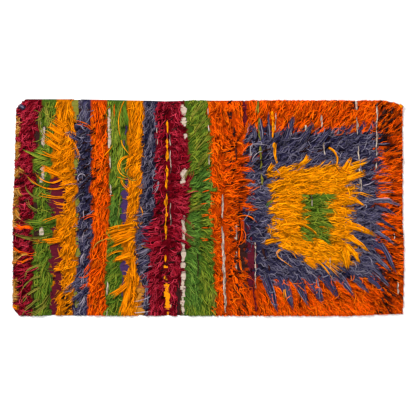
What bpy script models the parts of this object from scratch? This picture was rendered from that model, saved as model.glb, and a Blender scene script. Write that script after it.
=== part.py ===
"""A tulu rug: one hand-woven piece with long wool pile, lying flat on a floor with the pile up.

Metres, +Z up. The underside is at z = 0 and the rug is centred on the origin. Its length runs along X and its
rows of knots run along Y. The rug is one solid: a slab whose top has a ridge for each row of knots, low
channels where the woven ground shows between rows, and locks of pile that reach out over the rim.
"""

import math
import random
from collections import namedtuple

import bmesh
import bpy
from mathutils import Vector, noise

MM = 0.001

# Driving sizes.
LENGTH = 1800 * MM
WIDTH = 1000 * MM
GROUND_THICKNESS = 5 * MM
LOCK_REACH = 14 * MM
STEPS_ALONG_Y = 33

# The bands from the left end to the right one. A band starts this many millimetres from the left end at the
# front edge, halfway across and at the back edge, and it ends where the next one starts. A row of knots leans
# to the side on which its tips lie. A channel is a place where rows lie far apart.
Band = namedtuple("Band", "name front middle back crest leans")
BANDS = (
    Band("crimson end", 0, 0, 0, 17, "left"),
    Band("crimson second", 44, 44, 76, 20, "left"),
    Band("dark and beige ground", 99, 85, 131, 5, "channel"),
    Band("green left", 122, 99, 150, 23, "left"),
    Band("maroon ground", 172, 172, 205, 5, "channel"),
    Band("gold left", 209, 237, 214, 27, "left"),
    Band("olive ground", 273, 292, 269, 5, "channel"),
    Band("navy left", 292, 306, 301, 23, "left"),
    Band("orange left", 338, 361, 366, 26, "left"),
    Band("pale ground", 430, 448, 425, 5, "channel"),
    Band("green middle", 439, 458, 458, 23, "left"),
    Band("purple ground", 495, 490, 495, 5, "channel"),
    Band("gold middle", 506, 534, 536, 28, "left"),
    Band("slate", 577, 586, 598, 23, "left"),
    Band("crimson left of parting", 632, 649, 662, 23, "left"),
    Band("parting", 722, 725, 725, 5, "channel"),
    Band("crimson right of parting", 731, 734, 734, 22, "right"),
    Band("beige ground", 770, 798, 773, 5, "channel"),
    Band("green band first", 798, 812, 798, 23, "right"),
    Band("green band second", 858, 867, 849, 25, "right"),
    Band("orange first", 922, 927, 895, 23, "right"),
    Band("beige slit", 964, 964, 962, 5, "channel"),
    Band("orange second", 977, 975, 971, 26, "right"),
    Band("orange third", 1028, 1028, 1019, 24, "right"),
    Band("maroon stripe", 1111, 1083, 1060, 5, "channel"),
    Band("square row 1", 1127, 1105, 1079, 22, "right"),
    Band("square row 2", 1160, 1148, 1138, 25, "right"),
    Band("square row 3", 1212, 1208, 1205, 27, "right"),
    Band("square row 4", 1281, 1281, 1279, 27, "right"),
    Band("square row 5", 1348, 1346, 1346, 28, "right"),
    Band("square row 6", 1419, 1419, 1416, 28, "right"),
    Band("square row 7", 1505, 1507, 1505, 27, "right"),
    Band("square row 8", 1587, 1585, 1583, 26, "right"),
    Band("orange end first", 1672, 1672, 1672, 24, "right"),
    Band("orange end second", 1752, 1752, 1752, 18, "right"),
)

# Stretches of a channel where no pile lies over the ground. near and far are shares of the width, from the
# front edge.
Bare = namedtuple("Bare", "channel near far")
BARE_STRETCHES = (
    Bare("dark and beige ground", 0.0, 0.12),
    Bare("dark and beige ground", 0.6, 0.9),
    Bare("maroon ground", 0.0, 0.6),
    Bare("olive ground", 0.7, 1.0),
    Bare("pale ground", 0.45, 0.97),
    Bare("purple ground", 0.16, 0.26),
    Bare("purple ground", 0.43, 0.64),
    Bare("parting", 0.2, 0.92),
    Bare("beige ground", 0.0, 0.48),
    Bare("beige ground", 0.88, 1.0),
    Bare("beige slit", 0.0, 0.55),
    Bare("maroon stripe", 0.0, 0.38),
    Bare("maroon stripe", 0.88, 1.0),
)

# A row rises from its knots to the middle of its tufts and falls to its tips. Where two rows meet, the top is
# at this share of the crest. The highest place lies nearer to the knots.
MEETING_SHARE = 0.42
SWELL_SKEW = 0.7
LINES_IN_ROW = 3

# Lumps in the pile: how much they raise or lower it, and how long they are along X and Y.
LUMP_SHARE = 0.3
LUMP_LENGTH = 90 * MM
LUMP_WIDTH = 60 * MM

# The pile falls away towards the rim, to this share of its height, over this distance.
RIM_SHARE = 0.5
RIM_RUN = 34 * MM

# The outline: how far each edge and corner falls short of the full rectangle.
BACK_LEFT_INSET = 15 * MM
BACK_LEFT_INSET_STARTS = 0.4
RIGHT_BULGE = 5 * MM
EDGE_WAVE = 3 * MM
EDGE_WAVE_LENGTH = 250 * MM
FRONT_WAVE = 3
BACK_WAVE = 8
BACK_LEFT_CUT = 44 * MM
FRONT_LEFT_CUT = 38 * MM
BACK_RIGHT_DROP = 24 * MM
BACK_RIGHT_RUN = 100 * MM
FRONT_RIGHT_RISE = 8 * MM
FRONT_RIGHT_RUN = 60 * MM

# Each rim lock is drawn out in steps: how far out, how wide and how tall, as shares of its reach and root.
LockStep = namedtuple("LockStep", "reach width height")
LOCK_STEPS = (LockStep(0.5, 0.85, 0.8), LockStep(1.0, 0.35, 0.45))
LOCK_LEAN = 5 * MM
SHORTEST_LOCK = 0.45
NARROWEST_ROOT = 12 * MM
SEED = 7

SHARP_OVER = math.radians(50)
ORANGE_WOOL = (0.60, 0.06, 0.004)
WOOL_ROUGHNESS = 0.9


def smooth(t):
    """0 below 0 and 1 above 1, with an even rise between."""
    t = min(max(t, 0.0), 1.0)
    return t * t * (3 - 2 * t)


def band_start(band, across):
    """Where a band starts, measured from the left end, on an even curve through its three places."""
    from_front = (1 - across) * (1 - 2 * across) * band.front
    halfway = 4 * across * (1 - across) * band.middle
    from_back = across * (2 * across - 1) * band.back
    return (from_front + halfway + from_back) * MM


def lines_along_length():
    """Each line of the surface that runs from front to back, as its band's number and its share of the band."""
    lines = []
    for number, band in enumerate(BANDS):
        count = 1 if band.leans == "channel" else LINES_IN_ROW
        lines += [(number, step / count) for step in range(count)]
    return lines + [(len(BANDS) - 1, 1.0)]


def place_along(line, across):
    """Distance of a line from the left end of the full rectangle."""
    number, share = line
    start = band_start(BANDS[number], across)
    is_last = number == len(BANDS) - 1
    end = LENGTH if is_last else band_start(BANDS[number + 1], across)
    return start * (1 - share) + end * share


def is_bare(band, across):
    """Whether a channel's ground shows here."""
    return any(s.channel == band.name and s.near <= across <= s.far for s in BARE_STRETCHES)


def swell(line, across):
    """Height of the pile on a line before lumps, or None where the line bounds bare ground."""
    number, share = line
    band = BANDS[number]
    before = BANDS[number - 1] if share == 0 and number > 0 else band
    if is_bare(band, across) or is_bare(before, across):
        return None
    if "channel" in (band.leans, before.leans):
        beside = BANDS[max(number - 1, 0):number + 2]
        return MEETING_SHARE * max(row.crest for row in beside) * MM
    from_knots = share if band.leans == "right" else 1 - share
    rise = math.sin(math.pi * from_knots ** SWELL_SKEW)
    return band.crest * MM * (MEETING_SHARE + (1 - MEETING_SHARE) * rise)


def top_height(line, along, across):
    """Height of the rug's top over the floor."""
    pile = swell(line, across)
    if pile is None:
        return GROUND_THICKNESS
    lumps = 1 + LUMP_SHARE * noise.noise(Vector((along / LUMP_LENGTH, across * WIDTH / LUMP_WIDTH, 0)))
    to_rim = min(along, LENGTH - along, across * WIDTH, (1 - across) * WIDTH)
    rim = RIM_SHARE + (1 - RIM_SHARE) * smooth(to_rim / RIM_RUN)
    return max(GROUND_THICKNESS, pile * lumps * rim)


def edge_wave(along, which):
    """How far a long edge wanders in or out."""
    return EDGE_WAVE * noise.noise(Vector((along / EDGE_WAVE_LENGTH, 0, which)))


def cut_corner(along, across, cut):
    """Moves a point, given by its distances from two edges, so that their corner becomes a slanting line."""
    push = max(0.0, (cut - (along + across) / 2) / 2)
    return along + push, across + push


def within_outline(along, across):
    """Where a point of the full rectangle lies once the edges and corners have their own uneven run."""
    inset = BACK_LEFT_INSET * smooth((across - BACK_LEFT_INSET_STARTS) / (1 - BACK_LEFT_INSET_STARTS))
    left = LOCK_REACH + inset
    right = LENGTH - LOCK_REACH - RIGHT_BULGE * (1 - math.sin(math.pi * across))
    rise = FRONT_RIGHT_RISE * smooth((along - LENGTH + FRONT_RIGHT_RUN) / FRONT_RIGHT_RUN)
    drop = BACK_RIGHT_DROP * smooth((along - LENGTH + BACK_RIGHT_RUN) / BACK_RIGHT_RUN)
    front = LOCK_REACH + rise + edge_wave(along, FRONT_WAVE)
    back = WIDTH - LOCK_REACH - drop + edge_wave(along, BACK_WAVE)
    from_left = (right - left) * along / LENGTH
    from_back = (back - front) * (1 - across)
    from_left, from_back = cut_corner(from_left, from_back, BACK_LEFT_CUT)
    from_left, from_front = cut_corner(from_left, back - front - from_back, FRONT_LEFT_CUT)
    return left + from_left, front + from_front


def pile_surface(mesh):
    """The top of the rug: a grid whose lines follow the rows of knots, raised to the pile's height."""
    lines = lines_along_length()
    last = len(lines) - 1
    bmesh.ops.create_grid(mesh, x_segments=last, y_segments=STEPS_ALONG_Y, size=0.5)
    for vertex in mesh.verts:
        line = lines[round((vertex.co.x + 0.5) * last)]
        across = round((vertex.co.y + 0.5) * STEPS_ALONG_Y) / STEPS_ALONG_Y
        along = place_along(line, across)
        x, y = within_outline(along, across)
        vertex.co = Vector((x, y, top_height(line, along, across)))


def rim_and_underside(mesh):
    """Drops a wall from the grid's rim to the floor and closes it with a flat underside. Returns the wall."""
    rim = [edge for edge in mesh.edges if edge.is_boundary]
    dropped = bmesh.ops.extrude_edge_only(mesh, edges=rim)["geom"]
    for vertex in (item for item in dropped if isinstance(item, bmesh.types.BMVert)):
        vertex.co.z = 0.0
    wall = [item for item in dropped if isinstance(item, bmesh.types.BMFace)]
    foot = [edge for edge in mesh.edges if edge.is_boundary]
    bmesh.ops.contextual_create(mesh, geom=foot)
    bmesh.ops.recalc_face_normals(mesh, faces=mesh.faces)
    return wall


def root_width(face):
    """Length of a wall face along the floor."""
    return max((a.co.xy - b.co.xy).length for a in face.verts for b in face.verts)


def every_other(wall):
    """Every second face of the wall on each side of the rug, so that locks stand apart."""
    chosen = []
    for axis, facing in ((0, -1), (0, 1), (1, -1), (1, 1)):
        side = [face for face in wall if face.normal[axis] * facing > face.normal.length / math.sqrt(2)]
        side.sort(key=lambda face: tuple(face.calc_center_median().yx if axis == 0 else face.calc_center_median().xy))
        chosen += [face for face in side[1:-1:2] if root_width(face) > NARROWEST_ROOT]
    return chosen


def rim_locks(mesh, wall):
    """Draws locks out of the wall. Each keeps its foot on the floor and narrows to a blunt tip."""
    chance = random.Random(SEED)
    for root in every_other(wall):
        outward = Vector((root.normal.x, root.normal.y, 0)).normalized()
        sideways = Vector((-outward.y, outward.x, 0))
        middle = root.calc_center_median()
        middle.z = 0.0
        reach = LOCK_REACH * chance.uniform(SHORTEST_LOCK, 1.0)
        lean = LOCK_LEAN * chance.uniform(-1, 1)
        corners = [vertex.co.copy() for vertex in root.verts]
        face = root
        for step in LOCK_STEPS:
            face = bmesh.ops.extrude_discrete_faces(mesh, faces=[face])["faces"][0]
            for vertex, corner in zip(face.verts, corners):
                across = (corner - middle).dot(sideways) * step.width + lean * step.reach
                out = (corner - middle).dot(outward) * step.width + reach * step.reach
                vertex.co = middle + outward * out + sideways * across
                vertex.co.z = corner.z * step.height


def centre_on_origin(mesh):
    """Moves the rug so that the middle of its box stands over the origin."""
    for axis in (0, 1):
        places = [vertex.co[axis] for vertex in mesh.verts]
        middle = (min(places) + max(places)) / 2
        for vertex in mesh.verts:
            vertex.co[axis] -= middle


def wool(name, colour):
    """A dyed wool finish."""
    material = bpy.data.materials.new(name)
    material.use_nodes = True
    shader = material.node_tree.nodes["Principled BSDF"]
    shader.inputs["Base Color"].default_value = (*colour, 1)
    shader.inputs["Roughness"].default_value = WOOL_ROUGHNESS
    shader.inputs["Metallic"].default_value = 0.0
    material.diffuse_color = (*colour, 1)
    return material


def rug():
    """The whole rug as one object."""
    mesh = bmesh.new()
    pile_surface(mesh)
    wall = rim_and_underside(mesh)
    rim_locks(mesh, wall)
    bmesh.ops.triangulate(mesh, faces=[face for face in mesh.faces if len(face.verts) > 4])
    bmesh.ops.recalc_face_normals(mesh, faces=mesh.faces)
    centre_on_origin(mesh)
    data = bpy.data.meshes.new("rug")
    mesh.to_mesh(data)
    mesh.free()
    data.shade_smooth()
    data.set_sharp_from_angle(angle=SHARP_OVER)
    data.materials.append(wool("orange dyed wool", ORANGE_WOOL))
    return bpy.data.objects.new("rug", data)


def main():
    for obj in list(bpy.data.objects):
        bpy.data.objects.remove(obj)
    parts = bpy.data.collections.new("tulu_rug")
    bpy.context.scene.collection.children.link(parts)
    parts.objects.link(rug())


main()
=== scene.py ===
# %% [markdown]
# # A tulu rug, knot by knot
#
# A tulu is a hand-woven rug with very long wool pile. A flat ground is woven first, a few centimetres at a
# time, and then a row of long locks is knotted across it, so that the rug ends up as rows of shaggy tufts
# with stripes of bare ground between them. This lesson makes it in the same order: the ground, the rows of
# knots, the wool of each knot laid down one on another, and last the loose strands that stray over their
# neighbours.

# %% Open the frame that the rug is fitted to
import math
from collections import namedtuple

import bmesh
import bpy
import numpy as np
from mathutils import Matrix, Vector, noise


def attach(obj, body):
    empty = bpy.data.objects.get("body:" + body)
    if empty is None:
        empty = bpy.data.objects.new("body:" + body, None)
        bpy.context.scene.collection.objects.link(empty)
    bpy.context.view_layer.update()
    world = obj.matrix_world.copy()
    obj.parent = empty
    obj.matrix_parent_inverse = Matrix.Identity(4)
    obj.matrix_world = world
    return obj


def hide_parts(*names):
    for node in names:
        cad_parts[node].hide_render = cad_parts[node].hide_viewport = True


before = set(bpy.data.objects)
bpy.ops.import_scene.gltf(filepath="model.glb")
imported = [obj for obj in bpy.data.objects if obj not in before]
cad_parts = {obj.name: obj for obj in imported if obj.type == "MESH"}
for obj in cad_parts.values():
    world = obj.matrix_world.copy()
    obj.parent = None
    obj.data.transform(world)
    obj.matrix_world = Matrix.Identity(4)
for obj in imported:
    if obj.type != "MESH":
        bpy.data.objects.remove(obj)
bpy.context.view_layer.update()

# %% [markdown]
# The frame is a plain solid slab of the rug's real size.

# %% [markdown]
# ## The plan
#
# A weaver plans such a rug on squared paper. Here a square stands for 4.6 mm of rug, the plan is 391
# squares long and 217.5 wide, and its corner is the rug's left front corner. The warp runs along the rug,
# from left to right, and the rows of knots run across it. Every place in the lesson is given in squares,
# and one function turns squares into metres from the middle of the rug.

# %% Squares of the plan
SQUARE = 0.0046
PLAN_LENGTH = 391
PLAN_WIDTH = 217.5


def to_metres(x, y):
    """A place on the plan as a place on the rug, in metres."""
    return (x - PLAN_LENGTH / 2) * SQUARE, (y - PLAN_WIDTH / 2) * SQUARE


def smooth(t):
    """0 below 0 and 1 above 1, with an even rise between."""
    t = np.clip(t, 0.0, 1.0)
    return t * t * (3 - 2 * t)


print("the plan is", PLAN_LENGTH * SQUARE, "by", PLAN_WIDTH * SQUARE, "metres")

# %% [markdown]
# The rug's edges aren't straight: weft pulls a hand-woven rug in here and lets it out there. Each edge is
# a short list of places that it runs through. One corner is worn off at a slant, one is rounded, and one
# falls away. The function below says how far inside the edges a place lies, and the pile is trimmed by it.

# %% The rug's uneven edges
LEFT_EDGE = ((0, 0.5), (17, -0.3), (72, -0.5), (89, -0.9), (105, 0), (145, 1.7), (209, 3.3))
RIGHT_EDGE = ((0, 390.5), (30, 391.6), (72, 391.8), (90, 390.5), (207, 390.3))
FRONT_EDGE = ((0, 0.3), (40, 0.7), (90, 0.6), (340, 0.6), (391, 2.4))
BACK_EDGE = ((0, 218.4), (40, 218.6), (78, 217.8), (138, 216.6), (153, 216.1), (178, 216.8), (370, 216.6),
             (381, 214.8), (391, 211.2))
WORN_CORNER = (3.3, 208.5)
ROUND_CORNER = 12.5


def along_edge(edge, place):
    """Where an edge runs at a place along it."""
    places, distances = zip(*edge)
    return np.interp(place, places, distances)


def room_inside(x, y):
    """How many squares inside the rug's edges a place lies. It is negative outside them."""
    from_sides = np.minimum(x - along_edge(LEFT_EDGE, y), along_edge(RIGHT_EDGE, y) - x)
    from_ends = np.minimum(y - along_edge(FRONT_EDGE, x), along_edge(BACK_EDGE, x) - y)
    worn = (x - WORN_CORNER[0] - (y - WORN_CORNER[1])) / math.sqrt(2)
    off_round = np.hypot(np.minimum(x - ROUND_CORNER, 0), np.minimum(y - ROUND_CORNER, 0))
    return np.minimum.reduce([from_sides, from_ends, worn, ROUND_CORNER - off_round])


print("room in the middle:", room_inside(195.0, 108.0), "squares")

# %% [markdown]
# ## The wool
#
# The yarns are thick, loosely spun wool in a few strong dyes. Hand dyeing takes unevenly, so each yarn is
# given a main colour and a second one that some strands lean to. Colours are written as they look, and
# turned into the linear values that the shaders work with. thick is how thick a yarn's strands are beside
# those of the plainest wool, and depth, at most 1, is how strongly it takes the painted shade in the gaps
# between its strands, in the felt under them and at their flanks, and the painted highlight on their crests.

# %% Yarn colours
Yarn = namedtuple("Yarn", "main second thick depth")
YARNS = {
    "crimson": Yarn((148, 8, 30), (216, 60, 82), 0.76, 1.0),
    "orange": Yarn((252, 84, 2), (252, 116, 8), 0.92, 0.85),
    "gold": Yarn((254, 152, 1), (254, 166, 10), 1.05, 0.5),
    "amber": Yarn((242, 133, 1), (254, 156, 8), 1.0, 0.6),
    "green": Yarn((92, 128, 37), (155, 157, 48), 0.84, 0.8),
    "teal green": Yarn((85, 130, 47), (127, 154, 61), 0.84, 0.8),
    "olive": Yarn((126, 124, 46), (170, 156, 62), 0.9, 0.7),
    "navy": Yarn((62, 58, 94), (145, 138, 154), 0.72, 0.9),
    "slate": Yarn((48, 46, 76), (140, 130, 146), 0.72, 0.9),
    "pale": Yarn((172, 158, 172), (196, 186, 194), 0.8, 0.6),
    "ochre": Yarn((204, 132, 40), (226, 176, 100), 0.9, 0.6),
    "beige": Yarn((206, 184, 166), (222, 204, 188), 1.0, 0.6),
    "maroon": Yarn((92, 18, 36), (132, 40, 56), 1.0, 0.8),
    "purple": Yarn((70, 46, 92), (104, 84, 120), 1.0, 0.8),
    "brown": Yarn((52, 26, 24), (86, 52, 44), 1.0, 0.8),
}


def linear(colour):
    """A colour as it looks, from 0 to 255, as the linear values of a shader."""
    share = np.asarray(colour, dtype=float) / 255
    return np.where(share <= 0.04045, share / 12.92, ((share + 0.055) / 1.055) ** 2.4)


for name, yarn in YARNS.items():
    print(f"{name:12} {np.round(linear(yarn.main), 3)}")

# %% [markdown]
# ## The woven ground
#
# The ground is a weft-faced weave: the coloured wefts are beaten down so hard that they hide the warp, and
# only the warps' ridges show, as fine ribs along the rug. The wefts change colour from stripe to stripe. A
# stripe isn't quite straight, so it starts at one place at the front edge, at another halfway across and
# at a third at the back edge, and an even curve goes through the three.

# %% Stripes of the ground
Stripe = namedtuple("Stripe", "yarn front middle back")


def straight(yarn, place):
    """A stripe that starts at the same place from the front edge to the back edge."""
    return Stripe(yarn, place, place, place)


STRIPES = (
    straight("brown", -6),
    Stripe("ochre", 1, 1, 3),
    Stripe("brown", 8, 8, 11),
    Stripe("beige", 27.6, 27, 28.8),
    Stripe("brown", 31.5, 31.4, 33.5),
    Stripe("maroon", 36.5, 36.5, 41),
    Stripe("brown", 50.5, 52, 46),
    Stripe("olive", 60, 61, 59),
    Stripe("brown", 68.5, 68, 66),
    Stripe("beige", 93, 96, 94.5),
    Stripe("brown", 97, 99.5, 99.5),
    Stripe("purple", 106.5, 106.5, 110),
    Stripe("brown", 116.5, 117, 117),
    straight("ochre", 123),
    Stripe("brown", 132.5, 132.5, 131),
    straight("maroon", 142),
    Stripe("gold", 151.5, 151.5, 152.5),
    Stripe("beige", 158.2, 157.3, 156.6),
    Stripe("maroon", 160, 160, 158.8),
    Stripe("brown", 163.5, 164, 163),
    Stripe("beige", 167.8, 168, 166.5),
    Stripe("brown", 174.2, 175.5, 174.6),
    straight("beige", 194),
    straight("brown", 198),
    Stripe("beige", 209, 209, 208),
    Stripe("brown", 215.5, 212.5, 212),
    straight("beige", 222),
    straight("brown", 224.5),
    Stripe("maroon", 235.6, 233.8, 229),
    Stripe("beige", 242.2, 241.5, 237),
    Stripe("maroon", 243.6, 242.5, 238.5),
    Stripe("olive", 245.5, 245.5, 243.5),
    Stripe("brown", 249.5, 250.5, 248),
    straight("gold", 257.5),
    straight("beige", 262.4),
    straight("brown", 264),
    straight("beige", 277.6),
    straight("brown", 280),
    straight("beige", 291.6),
    straight("brown", 295.5),
    straight("beige", 298),
    straight("brown", 300.6),
    Stripe("beige", 326.2, 316.1, 305.9),
    Stripe("brown", 328, 317.9, 307.7),
    Stripe("beige", 353.2, 348, 342.6),
    Stripe("brown", 355.2, 350, 344.6),
    straight("beige", 362),
    straight("brown", 365.5),
    straight("beige", 379.5),
    straight("brown", 381.6),
    straight("beige", 383.2),
    straight("brown", 386),
)


def across(line, y):
    """Where a line that is given at the front, middle and back of the rug runs at y."""
    t = y / PLAN_WIDTH
    from_front = (1 - t) * (1 - 2 * t) * line.front
    halfway = 4 * t * (1 - t) * line.middle
    from_back = t * (2 * t - 1) * line.back
    return from_front + halfway + from_back


print(len(STRIPES), "stripes in the ground")

# %% [markdown]
# The ground could be a plane with its stripes painted by a ramp, but then the stripes would be straight.
# It is a grid whose lines are the stripes' own edges, so every stripe keeps its bend and its crisp edge.
# The grid is moved onto the plan, drawn in to the rug's outline, and given its thickness with Solidify.

# %% Weave the ground
GROUND_THICK = 0.0034
GROUND_INSET = 1.2
GROUND_STEPS = 44
LINES_IN_STRIPE = 2
PAST_THE_END = 6.0
WANDER = 0.35
UNEVEN = 0.0006


def ground_lines():
    """The grid's lines along the rug: each stripe's number and the share of it where the line lies."""
    shares = [step / LINES_IN_STRIPE for step in range(LINES_IN_STRIPE)]
    lines = [(number, share) for number in range(len(STRIPES)) for share in shares]
    return lines + [(len(STRIPES) - 1, 1.0)]


def line_place(line, y):
    """Where one of the grid's lines runs at y."""
    number, share = line
    start = across(STRIPES[number], y)
    is_last = number == len(STRIPES) - 1
    end = PLAN_LENGTH + PAST_THE_END if is_last else across(STRIPES[number + 1], y)
    return start + (end - start) * share


DRAWS = 6
CLOSE_ENOUGH = 0.01
PROBE = 0.05


def draw_in(x, y, inset):
    """Moves a place that is nearer to the rug's edge than the inset to just inside it, in a few draws."""
    for _ in range(DRAWS):
        short = inset - room_inside(x, y)
        if short <= CLOSE_ENOUGH:
            break
        right = room_inside(x + PROBE, y) - room_inside(x - PROBE, y)
        back = room_inside(x, y + PROBE) - room_inside(x, y - PROBE)
        size = math.hypot(right, back) or 1.0
        x += short * right / size
        y += short * back / size
    return x, y


def into_scene(name, data):
    """A new object of the scene."""
    made = bpy.data.objects.new(name, data)
    bpy.context.scene.collection.objects.link(made)
    return made


def woven_ground():
    """The ground's mesh, with a colour for each stripe."""
    lines = ground_lines()
    last = len(lines) - 1
    cloth = bmesh.new()
    bmesh.ops.create_grid(cloth, x_segments=last, y_segments=GROUND_STEPS, size=0.5)
    dye = cloth.loops.layers.float_color.new("dye")
    for face in cloth.faces:
        middle = face.calc_center_median()
        number = lines[int((middle.x + 0.5) * last)][0]
        colour = linear(YARNS[STRIPES[number].yarn].main)
        for loop in face.loops:
            loop[dye] = (*colour, 1)
    for vertex in cloth.verts:
        line = lines[round((vertex.co.x + 0.5) * last)]
        y = (vertex.co.y + 0.5) * PLAN_WIDTH
        x = line_place(line, y)
        x += WANDER * noise.noise(Vector((x * 0.3, y * 0.12, 0)))
        x, y = draw_in(x, y, GROUND_INSET)
        vertex.co.x, vertex.co.y = to_metres(x, y)
        vertex.co.z = GROUND_THICK + UNEVEN * noise.noise(Vector((x * 0.1, y * 0.1, 5)))
    mesh = bpy.data.meshes.new("woven_ground")
    cloth.to_mesh(mesh)
    cloth.free()
    mesh.shade_smooth()
    return mesh


ground = into_scene("woven_ground", woven_ground())
thickness = ground.modifiers.new("cloth thickness", "SOLIDIFY")
thickness.thickness = GROUND_THICK - UNEVEN
thickness.offset = -1
print("ground faces:", len(ground.data.polygons))

# %% [markdown]
# ## The bands of pile
#
# The pile isn't one fur. It is knotted in lines, and each line lies over the next like thatch. To the left
# of a parting the wool has fallen to the left, and to the right of it to the right. Lines of one colour
# make a band. A band is given by the side to which it leans and by two lines: the near one, where its
# first knots are, and the far one, where its wool ends. Each line is read at five places, from the front
# edge to the back edge.

# %% Bands
LEFT, RIGHT = 180, 0
PLACES = (0, 54, 109, 163, 217.5)
Band = namedtuple("Band", "name leans near far")
BANDS = (
    Band("left edge", LEFT, (7, 7.5, 7.5, 8.5, 11.5), (-1.5, -2.5, -2.5, -0.5, 6.5)),
    Band("crimson end", LEFT, (21.5, 21, 20, 22.5, 30.5), (6, 6, 6.5, 7.5, 8.5)),
    Band("green left", LEFT, (37.5, 37, 36, 37.5, 44.5), (21.5, 21.5, 24.5, 26.5, 31.5)),
    Band("gold left", LEFT, (59.5, 64.5, 65.5, 63.5, 58.5), (44.5, 45.5, 52, 41.5, 44.5)),
    Band("navy left", LEFT, (74.5, 80.5, 79, 79.5, 78.5), (62.5, 66.5, 66.5, 64.5, 66.5)),
    Band("orange left", LEFT, (94.5, 94, 98.5, 95.5, 92.5), (74.5, 79.5, 80.5, 79.5, 79.5)),
    Band("green middle", LEFT, (111.5, 106.5, 107, 116.5, 108.5), (92.5, 94.5, 98.5, 98.5, 94.5)),
    Band("gold middle", LEFT, (125.5, 126.5, 131.5, 131, 131), (110, 117, 115.5, 116.5, 117.5)),
    Band("slate", LEFT, (137.5, 138.5, 142, 144.5, 143.5), (132.5, 126.5, 126.5, 130.5, 131)),
    Band("crimson left", LEFT, (153, 153, 156, 156.5, 155.5), (134.5, 137.5, 142.5, 144.5, 143.5)),
    Band("squares", RIGHT, (244.5, 236.5, 228.5, 226.5, 238.5), (392.5, 392.5, 392.5, 392.5, 392.5)),
    Band("orange second", RIGHT, (212.5, 211, 210.5, 209.5, 209.5), (244.5, 229.5, 227.5, 225.5, 237.5)),
    Band("orange first", RIGHT, (201.5, 200.5, 196.5, 197, 193.5), (212, 210, 209.5, 209.5, 209.5)),
    Band("green right second", RIGHT, (186.5, 185.5, 185.5, 185.5, 183.5), (203.5, 201.5, 197.5, 197.5, 194)),
    Band("green right first", RIGHT, (172, 172, 175.5, 176.5, 174.5), (187.5, 186.5, 186.5, 186.5, 184.5)),
    Band("crimson right", RIGHT, (157.5, 156, 157.5, 158, 156), (164.5, 168, 175.5, 175.5, 167.5)),
)


SWAY, SWAY_EVERY = 0.7, 5.3
RIPPLE, RIPPLE_EVERY = 0.5, 2.9


def line_at(line, y):
    """Where a band's line runs at y. It sways and ripples a little, as a line laid by hand does."""
    uneven = SWAY * np.sin(y / SWAY_EVERY + line[2]) + RIPPLE * np.sin(y / RIPPLE_EVERY + 2 * line[0])
    return np.interp(y, PLACES, line) + uneven


print(len(BANDS), "bands of pile")

# %% [markdown]
# Along a band the wool changes. Here it is still combed, and there it is matted into curls. Five words say
# which: each stands for a splay, which is how far apart the strands of a lock fan out in degrees, and for
# a curl and a wave, which are how strongly and how often they wriggle.
#
# A table then gives, for each band, the places from the front edge at which its wool lies in a known way,
# and between two such places it changes evenly. The angle is the one in which a lock ends up: 0 points
# right, 90 to the back, 180 left and 270 to the front. over is how far the wool may reach past its band.
# At the rug's left edge the wool changes between crimson and ochre, patch by patch.

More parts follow.
